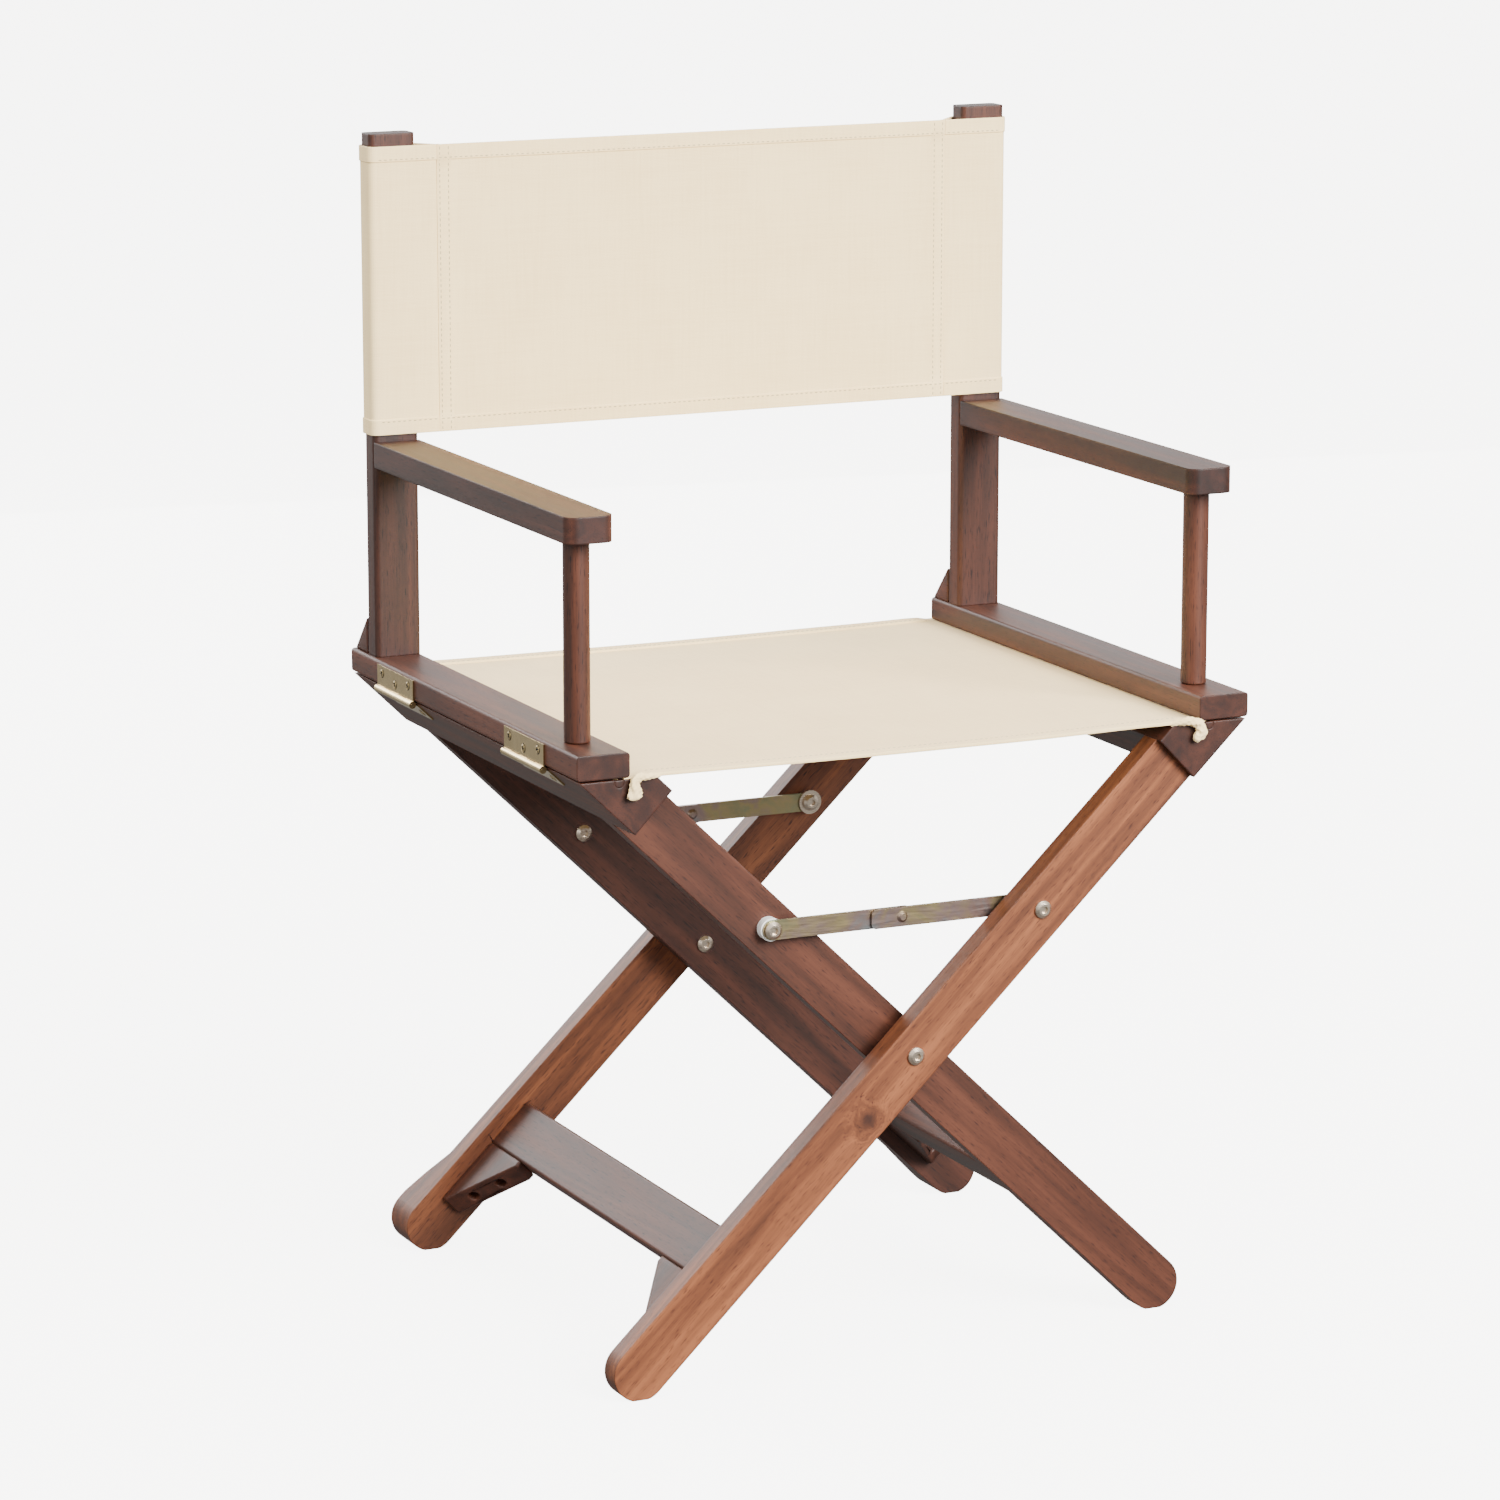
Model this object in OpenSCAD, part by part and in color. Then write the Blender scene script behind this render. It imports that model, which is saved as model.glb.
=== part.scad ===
/* [Overall] */
// Outside width over the seat rails when open
overall_w = 534; // [440:5:700]
// Length of the seat rails and leg beams, front to back
rail_len = 434; // [340:2:560]
// Height of the back posts above the floor
overall_h = 870; // [760:5:1000]
// Height of the top of the seat rails
seat_h = 476; // [400:1:540]
// Height of the top of the armrests
arm_h = 640; // [580:1:720]
// Height of the main cross pivot
pivot_h = 229.6; // [190:0.2:280]

/* [Arm frames] */
// Width of a seat rail
rail_w = 40; // [34:1:60]
// Thickness of a seat rail
rail_t = 18; // [14:0.5:26]
// Width of a back post, side to side
post_w = 36; // [26:1:50]
// Depth of a back post, front to back
post_t = 20; // [14:1:32]
// Distance from the back end of the rail to the post
post_back = 26; // [10:1:60]
// Distance from the rail's outer face to the post
post_inset = 3; // [0:0.5:10]
// Height of the stop wedge behind the post
wedge_h = 27; // [10:1:50]
// Length of the stop wedge behind the post
wedge_len = 24; // [8:1:30]
// Thickness of the armrest
arm_t = 19; // [12:1:30]
// Distance from the front end of the rail to the front end of the armrest
arm_back = 20; // [0:1:60]
// Radius of the armrest's front corners
arm_corner = 9; // [2:0.5:16]
// Radius of the long edges of rails and armrests
edge_r = 2.5; // [0.5:0.5:5]
// Radius of the post's corners
post_r = 4; // [1:0.5:8]
// Diameter of the round arm spindle
spindle_d = 19; // [14:0.5:28]
// Distance from the front end of the rail to the spindle
spindle_back = 46; // [20:1:90]
// Diameter of the spindle's tenons
tenon_d = 12; // [8:0.5:16]
// Depth of the spindle's tenons
tenon_len = 10; // [5:0.5:14]

/* [Leg frames] */
// Width of a leg board
leg_w = 41; // [32:1:60]
// Thickness of a leg board
leg_t = 18; // [14:1:28]
// Width of the flat under each foot
foot_flat = 12; // [6:1:24]
// Set-back of the outer legs from the front of the rails
leg_setback = 6; // [2:1:30]
// Set-back of the outer legs from the back of the rails
leg_setback_rear = 9; // [2:1:30]
// Free space between an outer leg and its inner neighbour
leg_gap = 16; // [13:0.5:24]
// Length along the leg from the pivot to its top end
leg_top = 290; // [240:1:340]
// Vertical gap between seat rail and leg beam
beam_gap = 1.5; // [1:0.1:4]
// How much thicker the rear feet get
foot_flare = 15.8; // [2:0.2:24]
// Distance from the pivot to the middle of the foot rail, along the leg
foot_rail_u = 203; // [150:1:240]
// Width of a foot rail board
foot_rail_w = 42; // [30:1:60]
// Thickness of foot rails and corner blocks
foot_rail_t = 18; // [12:1:24]
// Leg length of the corner blocks
block_leg = 58; // [36:1:70]
// Diameter of the dowel pins hidden in the joints
dowel_d = 8; // [6:1:12]
// Length of the dowel pins
dowel_len = 36; // [20:2:60]

/* [Hinges] */
// Length of each butt hinge
hinge_len = 72; // [50:1:100]
// Distance of each hinge's middle from the chair's middle
hinge_at = 124; // [70:1:150]
// Visible width of each leaf
leaf_w = 16; // [12:0.5:17]
// Thickness of each leaf
leaf_t = 1.2; // [0.8:0.1:2]
// Diameter of the hinge barrel
barrel_d = 5.5; // [5:0.1:6]
// Diameter of the hinge pin
hinge_pin_d = 2.8; // [2:0.1:3.2]
// Diameter of the wood screws in the hinges
screw_d = 3.5; // [2.5:0.1:4.5]
// Length of the wood screws in the hinges
screw_len = 13; // [8:1:16]

/* [Pivots and brace] */
// Diameter of the main pivot bolts
pivot_d = 8; // [6:0.5:10]
// Diameter of the bolt heads and nuts
bolt_head_d = 13; // [11:0.5:16]
// Height of the bolt heads
bolt_head_h = 3.4; // [2:0.1:5]
// Key size of the hex sockets
socket_af = 5; // [4:0.5:6]
// Diameter of the brace bolts
brace_d = 6; // [5:0.5:7]
// Distance from the main pivot to a brace bolt, along the leg
brace_u = 142; // [110:1:170]
// Width of the flat brace links
link_w = 14.5; // [11:0.5:18]
// Thickness of the flat brace links
link_t = 2; // [1.5:0.1:3]
// How far the overlapping link runs past the rivet
link_tail = 24.5; // [12:0.5:34]
// Diameter of the brace rivet's shank
rivet_d = 5; // [4:0.5:6]
// Diameter of the brace rivet's heads
rivet_head_d = 8.5; // [7:0.5:11]
// Diameter of the nylon washer
nylon_d = 17; // [14:0.5:20]
// Diameter of the large steel washer
washer_d = 19; // [14:0.5:22]

/* [Cloth] */
// Distance from the cord's middle to the rail's inner edge
cord_in = 8; // [5:0.5:16]
// Diameter of the cord sewn into the seat's edges
cord_d = 6.2; // [4:0.2:7]
// Length of the cord tails at the front
cord_tail = 19; // [8:1:40]
// How far the back edge of the seat cloth runs past the rails
seat_over = 6.8; // [0:0.2:20]
// Thickness of the seat cloth solid at its middle
seat_t = 3; // [2:0.5:8]
// Height of the back cloth
back_cloth_h = 216; // [140:2:320]
// Gap between the back cloth and the armrests
back_cloth_gap = 5; // [2:1:40]
// Thickness of the cloth
cloth_t = 1.2; // [0.8:0.1:2]
// Distance from the post's inner face to the sleeve's seam
sleeve_seam = 16; // [10:1:40]

/* [Fits] */
// Radial running clearance of pins and bolts that turn
run_fit = 0.05; // [0.02:0.01:0.1]
// Gap between faces that slide past each other
face_gap = 0.15; // [0.1:0.05:0.4]
// Clearance round soft pieces
soft_gap = 0.3; // [0.2:0.05:0.6]

/* [Hidden] */
$fn = 48;
half_w = overall_w / 2;
y_front = -rail_len / 2;
y_back = rail_len / 2;
rail_z = seat_h - rail_t;
rail_in = half_w - rail_w;
post_x = half_w - post_inset - post_w / 2;
post_in = post_x - post_w / 2;
post_y = y_back - post_back - post_t;
arm_y = y_front + arm_back;
spindle_y = y_front + spindle_back;
spindle_x = half_w - rail_w / 2;
// beam and leg geometry: the leg's lower edge runs to the beam's outer corner
half_leg = leg_w / 2;
beam_top = rail_z - beam_gap;
beam_x = half_w - 2;
beam_dz = beam_top - pivot_h;
leg_a = atan2(beam_dz, beam_x) + asin(half_leg / sqrt(beam_x * beam_x + beam_dz * beam_dz));
ca = cos(leg_a);
sa = sin(leg_a);
foot_z = sqrt(half_leg * half_leg - foot_flat * foot_flat / 4);
foot_u = (pivot_h - foot_z) / sa;
beam_u = beam_x * ca + beam_dz * sa;
// where the beam's inner face meets its top, along the leg
beam_in = (beam_dz - half_leg * ca) / sa;
// leg planes, front to back
outer_f = y_front + leg_setback;
inner_f = outer_f + leg_t + leg_gap;
outer_r = y_back - leg_setback_rear - leg_t;
inner_r = outer_r - leg_gap - leg_t;
// hinge line
hinge_x = half_w + 1.4;
hinge_z = beam_top - 0.9;
knuckle = hinge_len / 5;
leaf_lift = barrel_d / 2 - (rail_z - hinge_z) + 0.25;
hinge_bore = hinge_pin_d / 2 + run_fit;
// distance of the hinge line from the beam's slanted face, and along it
lower_off = (hinge_x - beam_x) * sa - (hinge_z - beam_top) * ca;
lower_t = -(hinge_x - beam_x) * ca - (hinge_z - beam_top) * sa;
screw_head_d = 6.6;
screw_head_h = 1.9;
// brace
brace_x = brace_u * ca;
brace_z = pivot_h + brace_u * sa;
link_off = 5;
link_step = link_t + 0.1;
// front and rear link planes
flb_y = outer_f + leg_t + link_off;
fla_y = flb_y + link_step;
rla_y = inner_r + leg_t + link_off;
rlb_y = rla_y + link_step;
// cloth
cord_x = rail_in + cord_in;
cord_z = rail_z - 0.4 - cord_d / 2;
groove_r = cord_d / 2 + 0.4;
seat_x = cord_x - cord_d / 2 - soft_gap;
seat_edge_x = (beam_dz * ca - half_leg) / sa;
seat_low = beam_top + soft_gap;
seat_high = rail_z - soft_gap;
tail_y = y_front - cord_d / 2 - 0.6;
back_z = arm_h + back_cloth_gap;
cloth_y = post_y - soft_gap - cloth_t;
seam_x = post_in - sleeve_seam;
wood = [0.55, 0.36, 0.27];
wood_dark = [0.47, 0.3, 0.23];
steel = [0.75, 0.75, 0.78];
zinc = [0.72, 0.65, 0.5];
cloth = [0.9, 0.86, 0.78];

// point in the chair's front view from leg coordinates, s is the side
function P(s, u, w) = [s * (u * ca - w * sa), pivot_h + u * sa + w * ca];

// keeps the points of an outline turning the same way on both sides
function turn(s, v) = s > 0 ? v : [for (i = [len(v) - 1 : -1 : 0]) v[i]];

// a front view outline made into a board between y0 and y0 + t
module board(y0, t) {
    translate([0, y0 + t, 0]) rotate([90, 0, 0]) linear_extrude(t) children();
}

// a rectangle with round corners
module rrect(w, h, r) {
    square([w - 2 * r, h], center = true);
    square([w, h - 2 * r], center = true);
    for (i = [-1, 1], j = [-1, 1])
        translate([i * (w / 2 - r), j * (h / 2 - r)]) circle(r);
}

// cylinder along +Y from y0
module rod(x, z, y0, d, len) {
    translate([x, y0, z]) rotate([-90, 0, 0]) cylinder(d = d, h = len);
}

// leg coordinates in space: local X runs up the leg, local Z is across it
module along_leg(s) {
    translate([0, 0, pivot_h]) rotate([0, s > 0 ? -leg_a : leg_a - 180, 0]) children();
}

module leg_outline() {
    translate([-foot_u, -half_leg]) square([foot_u + leg_top, leg_w]);
    translate([-foot_u, 0]) circle(half_leg, $fn = 96);
}

module below_floor(y0, t) {
    translate([-overall_w, y0 - 1, -100]) cube([2 * overall_w, t + 2, 100]);
}

// s side, y0 front face, pd pivot bore, bd brace bore
module leg(s, y0, pd, bd) {
    difference() {
        along_leg(s) board(y0, leg_t) leg_outline();
        below_floor(y0, leg_t);
        leg_bores(s, y0, pd, bd);
    }
}

module rear_leg(s, y0, pd, bd) {
    difference() {
        along_leg(s) intersection() {
            board(y0, leg_t + foot_flare) leg_outline();
            translate([0, 0, -half_leg - 5]) linear_extrude(leg_w + 10)
                polygon([[-foot_u - 40, y0 - 1], [leg_top + 10, y0 - 1], [leg_top + 10, y0 + leg_t],
                         [-foot_u + 52, y0 + leg_t], [-foot_u + 28, y0 + leg_t + foot_flare * 0.62],
                         [-foot_u + 8, y0 + leg_t + foot_flare], [-foot_u - 40, y0 + leg_t + foot_flare]]);
        }
        below_floor(y0, leg_t + foot_flare);
        leg_bores(s, y0, pd, bd);
    }
}

module leg_bores(s, y0, pd, bd) {
    q = P(s, 0, 0);
    b = P(s, brace_u, 0);
    rod(q[0], q[1], y0 - 1, pd, leg_t + 2);
    rod(b[0], b[1], y0 - 1, bd, leg_t + 2);
    top_dowel(s, y0);
}

// dowel from the leg's top end into the beam
module top_dowel(s, y0) {
    along_leg(s) translate([leg_top - dowel_len / 2, y0 + leg_t / 2, 0]) rotate([0, 90, 0])
        cylinder(d = dowel_d, h = dowel_len);
}

// dowels from a leg into the foot rail, y is the joint face
module rail_dowels(s, y) {
    for (k = [-1, 1])
        along_leg(s) translate([-foot_rail_u + k * foot_rail_w / 4, y - 12, 0]) rotate([-90, 0, 0])
            cylinder(d = dowel_d, h = 24);
}

module leg_beam(s, yf, yr) {
    difference() {
        board(y_front, rail_len) difference() {
            polygon(turn(s, [P(s, beam_u, -half_leg), P(s, beam_in, half_leg),
                             P(s, leg_top, half_leg), P(s, leg_top, -half_leg)]));
            translate([s * cord_x, cord_z]) circle(groove_r);
            translate([s * cord_x - groove_r, cord_z]) square([2 * groove_r, groove_r + 5]);
        }
        top_dowel(s, yf);
        top_dowel(s, yr);
        lower_screws(s);
    }
}

module foot_rail(s, yf, yr) {
    difference() {
        along_leg(s) board(yf, yr - yf) translate([-foot_rail_u, 0]) rrect(foot_rail_w, foot_rail_t, edge_r);
        rail_dowels(s, yf);
        rail_dowels(s, yr);
        block_screws(s, yf, 1);
        block_screws(s, yr, -1);
    }
}

// corner block between leg face y and the foot rail, d is +1 at the front leg
module corner_block(s, y, d) {
    u0 = -foot_rail_u - foot_rail_w / 2;
    difference() {
        along_leg(s) translate([0, 0, -foot_rail_t / 2]) linear_extrude(foot_rail_t)
            polygon([[u0, y], [u0, y + d * block_leg], [u0 - 5, y + d * block_leg],
                     [u0 - block_leg, y + d * 5], [u0 - block_leg, y]]);
        block_screws(s, y, d);
        block_bores(s, y, d);
    }
}

// the line of each corner block screw, from the sloping face inwards
module block_line(s, y, d, k) {
    u0 = -foot_rail_u - foot_rail_w / 2;
    m = block_leg / 2 + 1.5;
    along_leg(s) translate([u0 - m + k * 10, y + d * (m + k * 10), 0])
        rotate([0, 0, -d * 45]) rotate([0, 90, 0]) children();
}

module block_screws(s, y, d) {
    for (k = [-1, 1]) block_line(s, y, d, k) {
        translate([0, 0, 9]) cylinder(d = 4, h = 27);
        translate([0, 0, 6.5]) cylinder(d = 7, h = 2.6);
    }
}

module block_bores(s, y, d) {
    for (k = [-1, 1]) block_line(s, y, d, k) translate([0, 0, -12]) cylinder(d = 8.5, h = 18.6);
}

module seat_rail(s) {
    difference() {
        translate([s * (half_w - rail_w / 2), y_back, rail_z + rail_t / 2]) rotate([90, 0, 0])
            linear_extrude(rail_len) rrect(rail_w, rail_t, edge_r);
        translate([s * spindle_x, spindle_y, seat_h - tenon_len]) cylinder(d = tenon_d, h = tenon_len + 1);
        post_tenon(s);
        upper_screws(s);
    }
}

module post_tenon(s) {
    translate([s * post_x - post_w / 4, post_y + post_t / 4, seat_h - 12]) cube([post_w / 2, post_t / 2, 12.5]);
}

module back_post(s) {
    difference() {
        union() {
            translate([s * post_x, post_y + post_t / 2, seat_h]) linear_extrude(overall_h - seat_h)
                rrect(post_w, post_t, post_r);
            post_tenon(s);
        }
        arm_tenon(s);
    }
}

// round tenon of the armrest in the post
module arm_tenon(s) {
    rod(s * post_x, arm_h - arm_t / 2, post_y - 1, tenon_d, tenon_len + 1);
}

module post_wedge(s) {
    translate([s * post_x - post_w / 2, 0, 0]) rotate([90, 0, 90]) linear_extrude(post_w)
        polygon([[post_y + post_t, seat_h], [post_y + post_t + wedge_len, seat_h],
                 [post_y + post_t + wedge_len, seat_h + 1.5], [post_y + post_t + 1.5, seat_h + wedge_h],
                 [post_y + post_t, seat_h + wedge_h]]);
}

module armrest(s) {
    difference() {
        translate([s * post_x, 0, arm_h - arm_t]) linear_extrude(arm_t) {
            translate([-post_w / 2, arm_y + arm_corner]) square([post_w, post_y - arm_y - arm_corner]);
            translate([-post_w / 2 + arm_corner, arm_y]) square([post_w - 2 * arm_corner, arm_corner + 1]);
            for (i = [-1, 1]) translate([i * (post_w / 2 - arm_corner), arm_y + arm_corner]) circle(arm_corner);
        }
        translate([s * spindle_x, spindle_y, arm_h - arm_t - 1]) cylinder(d = tenon_d, h = tenon_len + 1);
    }
    arm_tenon(s);
}

module spindle(s) {
    translate([s * spindle_x, spindle_y, 0]) {
        translate([0, 0, seat_h]) cylinder(d = spindle_d, h = arm_h - arm_t - seat_h);
        translate([0, 0, seat_h - tenon_len]) cylinder(d = tenon_d, h = arm_h - arm_t - seat_h + 2 * tenon_len);
    }
}

// the hinges are the same from front and back, so the left ones are the right ones turned half round
module half_turn(s) {
    rotate([0, 0, s > 0 ? 0 : 180]) children();
}

// hinge knuckles: list of positions along the hinge
module knuckles(y0, list) {
    for (k = list)
        rod(hinge_x, hinge_z, y0 + k * knuckle + face_gap / 2, barrel_d, knuckle - face_gap);
}

module upper_leaves(s) {
    half_turn(s) for (c = [-1, 1]) {
        y0 = c * hinge_at - hinge_len / 2;
        difference() {
            union() {
                translate([half_w, y0, rail_z + leaf_lift]) cube([leaf_t, hinge_len, leaf_w - leaf_lift]);
                for (k = [0, 2, 4])
                    translate([half_w, y0 + k * knuckle + face_gap / 2, hinge_z])
                        cube([leaf_t, knuckle - face_gap, rail_z + leaf_lift - hinge_z + 0.2]);
                knuckles(y0, [0, 2, 4]);
            }
            rod(hinge_x, hinge_z, y0 - 1, 2 * hinge_bore, hinge_len + 2);
            upper_screw_row(c, 0.5);
        }
    }
}

// lower leaf lies on the beam's slanted face
module lower_leaves(s) {
    half_turn(s) for (c = [-1, 1]) {
        y0 = c * hinge_at - hinge_len / 2;
        difference() {
            union() {
                on_slant() translate([1.5, y0, 0]) cube([leaf_w + 1, hinge_len, leaf_t]);
                for (k = [1, 3])
                    on_slant() translate([lower_t, y0 + k * knuckle + face_gap / 2, 0.05])
                        cube([2 - lower_t, knuckle - face_gap, leaf_t - 0.05]);
                knuckles(y0, [1, 3]);
            }
            rod(hinge_x, hinge_z, y0 - 1, hinge_pin_d, hinge_len + 2);
            lower_screw_row(c, 0.5);
        }
    }
}

// local X runs down the slanted face from the beam's outer corner, local Z points out of it
module on_slant() {
    translate([beam_x, 0, beam_top]) rotate([0, 180 - leg_a, 0]) children();
}

// countersunk screw, over lengthens its head to make a clean hole in a leaf
module wood_screw(len, over) {
    translate([0, 0, -screw_head_h]) cylinder(d1 = screw_d, d2 = screw_head_d, h = screw_head_h);
    translate([0, 0, -len]) cylinder(d = screw_d, h = len - screw_head_h + 0.01);
    if (over > 0) translate([0, 0, -0.001]) cylinder(d = screw_head_d, h = over);
}

module upper_screw_row(c, over) {
    for (k = [-1, 0, 1])
        translate([half_w + leaf_t, c * hinge_at + k * 26, rail_z + (k == 0 ? 6.5 : 10.5)])
            rotate([0, 90, 0]) wood_screw(screw_len, over);
}

// the lower screws are short enough to end below the beam's top
module lower_screw_row(c, over) {
    for (k = [-1, 0, 1]) {
        down = k == 0 ? 8.5 : 12.5;
        len = min(screw_len, leaf_t + (down - screw_d / 2) * tan(leg_a) - 1.2);
        on_slant() translate([down, c * hinge_at + k * 26, leaf_t]) wood_screw(len, over);
    }
}

module upper_screws(s) {
    half_turn(s) for (c = [-1, 1]) upper_screw_row(c, 0);
}

module lower_screws(s) {
    half_turn(s) for (c = [-1, 1]) lower_screw_row(c, 0);
}

module hinge_pins(s) {
    half_turn(s) for (c = [-1, 1])
        rod(hinge_x, hinge_z, c * hinge_at - hinge_len / 2, hinge_pin_d, hinge_len);
}

// button head with a hex socket, its flat side on the plane y, d points out of the wood
module bolt_head(x, z, y, d) {
    translate([x, y, z]) rotate([d > 0 ? -90 : 90, 0, 0]) difference() {
        union() {
            cylinder(d = bolt_head_d, h = bolt_head_h * 0.45);
            translate([0, 0, bolt_head_h * 0.45])
                cylinder(d1 = bolt_head_d, d2 = bolt_head_d * 0.66, h = bolt_head_h * 0.55);
        }
        translate([0, 0, bolt_head_h - 2]) cylinder(d = socket_af / cos(30), h = 3, $fn = 6);
    }
}

// bolt with its head at y0 and its end at y1
module bolt(x, z, y0, y1, d) {
    bolt_head(x, z, y0, -1);
    rod(x, z, y0 - 0.01, d, y1 - y0);
}

module tube(x, z, y0, od, id, len) {
    difference() {
        rod(x, z, y0, od, len);
        rod(x, z, y0 - 1, id, len + 2);
    }
}

// front bolt: head on the outer front leg, rear bolt: head on the inner rear leg
module pivot_bolts() {
    bolt(0, pivot_h, outer_f, inner_f + leg_t + 5, pivot_d);
    bolt(0, pivot_h, inner_r - soft_gap, outer_r + leg_t + 4.5, pivot_d);
}

module pivot_nuts() {
    tube(0, pivot_h, inner_f + leg_t + soft_gap, bolt_head_d, pivot_d, 4.7);
    tube(0, pivot_h, outer_r + leg_t, bolt_head_d, pivot_d, 4.5);
}

module pivot_spacers() {
    tube(0, pivot_h, outer_f + leg_t, 16, pivot_d, leg_gap - face_gap);
    tube(0, pivot_h, inner_r + leg_t + face_gap, 16, pivot_d, leg_gap - face_gap);
}

// a flat brace link from the bolt at bx to the middle, tail beyond the rivet
module link(s, y0, tail) {
    difference() {
        board(y0, link_t) difference() {
            union() {
                translate([s * brace_x, brace_z]) circle(link_w / 2);
                translate([min(s * brace_x, -s * (tail - link_w / 4)), brace_z - link_w / 2])
                    square([brace_x + tail - link_w / 4, link_w]);
                translate([-s * tail, brace_z]) translate([s > 0 ? 0 : -link_w / 4, -link_w / 4])
                    square([link_w / 4, link_w / 2]);
                for (j = [-1, 1])
                    translate([-s * (tail - link_w / 4), brace_z + j * link_w / 4]) circle(link_w / 4);
            }
            translate([s * brace_x, brace_z]) circle(brace_d / 2 + run_fit);
            translate([0, brace_z]) circle(rivet_d / 2);
        }
    }
}

// half of the middle rivet: head outside the link, shank up to the link's inner face
module rivet_half(y0, d) {
    yh = d < 0 ? y0 : y0 + link_t;
    translate([0, yh, brace_z]) rotate([d > 0 ? -90 : 90, 0, 0]) {
        cylinder(d1 = rivet_head_d, d2 = rivet_head_d * 0.55, h = 1.7);
        translate([0, 0, -link_t]) cylinder(d = rivet_d, h = link_t + 0.5);
    }
}

module right_brace_bolts() {
    bolt(brace_x, brace_z, outer_f, flb_y + link_t + 5, brace_d);
    bolt(brace_x, brace_z, rlb_y - 1.8, outer_r + leg_t + 4.5, brace_d);
}

module right_brace_nuts() {
    tube(brace_x, brace_z, flb_y + link_t + face_gap, bolt_head_d - 1, brace_d, 4.5);
    tube(brace_x, brace_z, outer_r + leg_t, bolt_head_d - 1, brace_d, 4.5);
}

module left_brace_bolts() {
    bolt(-brace_x, brace_z, fla_y - face_gap, inner_f + leg_t + 4.5, brace_d);
    bolt(-brace_x, brace_z, inner_r, rla_y + link_t + 4.8, brace_d);
}

module left_brace_nuts() {
    tube(-brace_x, brace_z, inner_f + leg_t, bolt_head_d - 1, brace_d, 4.5);
    tube(-brace_x, brace_z, rla_y + link_t + face_gap, bolt_head_d - 1, brace_d, 4.5);
}

module brace_spacer(x, y0, y1) {
    tube(x, brace_z, y0, 14, brace_d, y1 - y0);
}

module edge_cord(s) {
    rod(s * cord_x, cord_z, y_front - 0.5, cord_d, rail_len + 0.5);
    rotate([90, 0, 0]) translate([s * cord_x, cord_z, -tail_y]) sphere(d = cord_d);
    rod(s * cord_x, cord_z, tail_y, cord_d, y_front - tail_y);
    translate([s * cord_x, tail_y, cord_z - cord_tail + cord_d / 2]) {
        cylinder(d = cord_d, h = cord_tail - cord_d / 2);
        sphere(d = cord_d);
    }
}

module seat_cloth() {
    board(y_front, rail_len + seat_over) polygon([
        [-seat_x, seat_low], [-seat_edge_x, seat_low], [-seat_edge_x + 8, seat_high - seat_t],
        [0, seat_high - seat_t - 1.5], [seat_edge_x - 8, seat_high - seat_t], [seat_edge_x, seat_low],
        [seat_x, seat_low], [seat_x, seat_high], [seat_edge_x, seat_high], [0, seat_high - 1.5],
        [-seat_edge_x, seat_high], [-seat_x, seat_high]]);
}

// cloth sleeve round a post with its flap up to the seam
module sleeve(s) {
    translate([0, 0, back_z]) linear_extrude(back_cloth_h) difference() {
        union() {
            translate([s * post_x, post_y + post_t / 2])
                rrect(post_w + 2 * (soft_gap + cloth_t), post_t + 2 * (soft_gap + cloth_t), post_r);
            translate([s > 0 ? seam_x : -post_x, cloth_y]) square([post_x - seam_x, 2 * cloth_t]);
        }
        translate([s * post_x, post_y + post_t / 2])
            rrect(post_w + 2 * soft_gap, post_t + 2 * soft_gap, post_r - cloth_t);
    }
}

module back_panel() {
    translate([-seam_x + soft_gap, cloth_y, back_z]) cube([2 * (seam_x - soft_gap), 2 * cloth_t, back_cloth_h]);
}

module n_right_beam() {
    color(wood) leg_beam(1, outer_f, outer_r);
}

module n_right_front_leg() {
    color(wood) difference() { leg(1, outer_f, pivot_d, brace_d); rail_dowels(1, outer_f + leg_t); block_screws(1, outer_f + leg_t, 1); }
}

module n_right_rear_leg() {
    color(wood_dark) difference() { rear_leg(1, outer_r, pivot_d, brace_d); rail_dowels(1, outer_r); block_screws(1, outer_r, -1); }
}

module n_right_foot_rail() {
    color(wood) foot_rail(1, outer_f + leg_t, outer_r);
}

module n_right_corner_blocks() {
    color(wood_dark) { corner_block(1, outer_f + leg_t, 1); corner_block(1, outer_r, -1); }
}

module n_right_block_screws() {
    color(steel) { block_screws(1, outer_f + leg_t, 1); block_screws(1, outer_r, -1); }
}

module n_right_leg_dowels() {
    color(wood_dark) { top_dowel(1, outer_f); top_dowel(1, outer_r); rail_dowels(1, outer_f + leg_t); rail_dowels(1, outer_r); }
}

module n_right_seat_rail() {
    color(wood) seat_rail(1);
}

module n_right_post() {
    color(wood) back_post(1);
}

module n_right_wedge() {
    color(wood_dark) post_wedge(1);
}

module n_right_armrest() {
    color(wood) armrest(1);
}

module n_right_spindle() {
    color(wood_dark) spindle(1);
}

module n_right_upper_leaves() {
    color(zinc) upper_leaves(1);
}

module n_right_lower_leaves() {
    color(zinc) lower_leaves(1);
}

module n_right_hinge_pins() {
    color(steel) hinge_pins(1);
}

module n_right_upper_screws() {
    color(steel) upper_screws(1);
}

module n_right_lower_screws() {
    color(steel) lower_screws(1);
}

module n_right_edge_cord() {
    color(cloth) edge_cord(1);
}

module n_right_sleeve() {
    color(cloth) sleeve(1);
}

module n_left_beam() {
    color(wood) leg_beam(-1, inner_f, inner_r);
}

module n_left_front_leg() {
    color(wood) difference() { leg(-1, inner_f, pivot_d + 2 * run_fit, brace_d); rail_dowels(-1, inner_f + leg_t); block_screws(-1, inner_f + leg_t, 1); }
}

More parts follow.
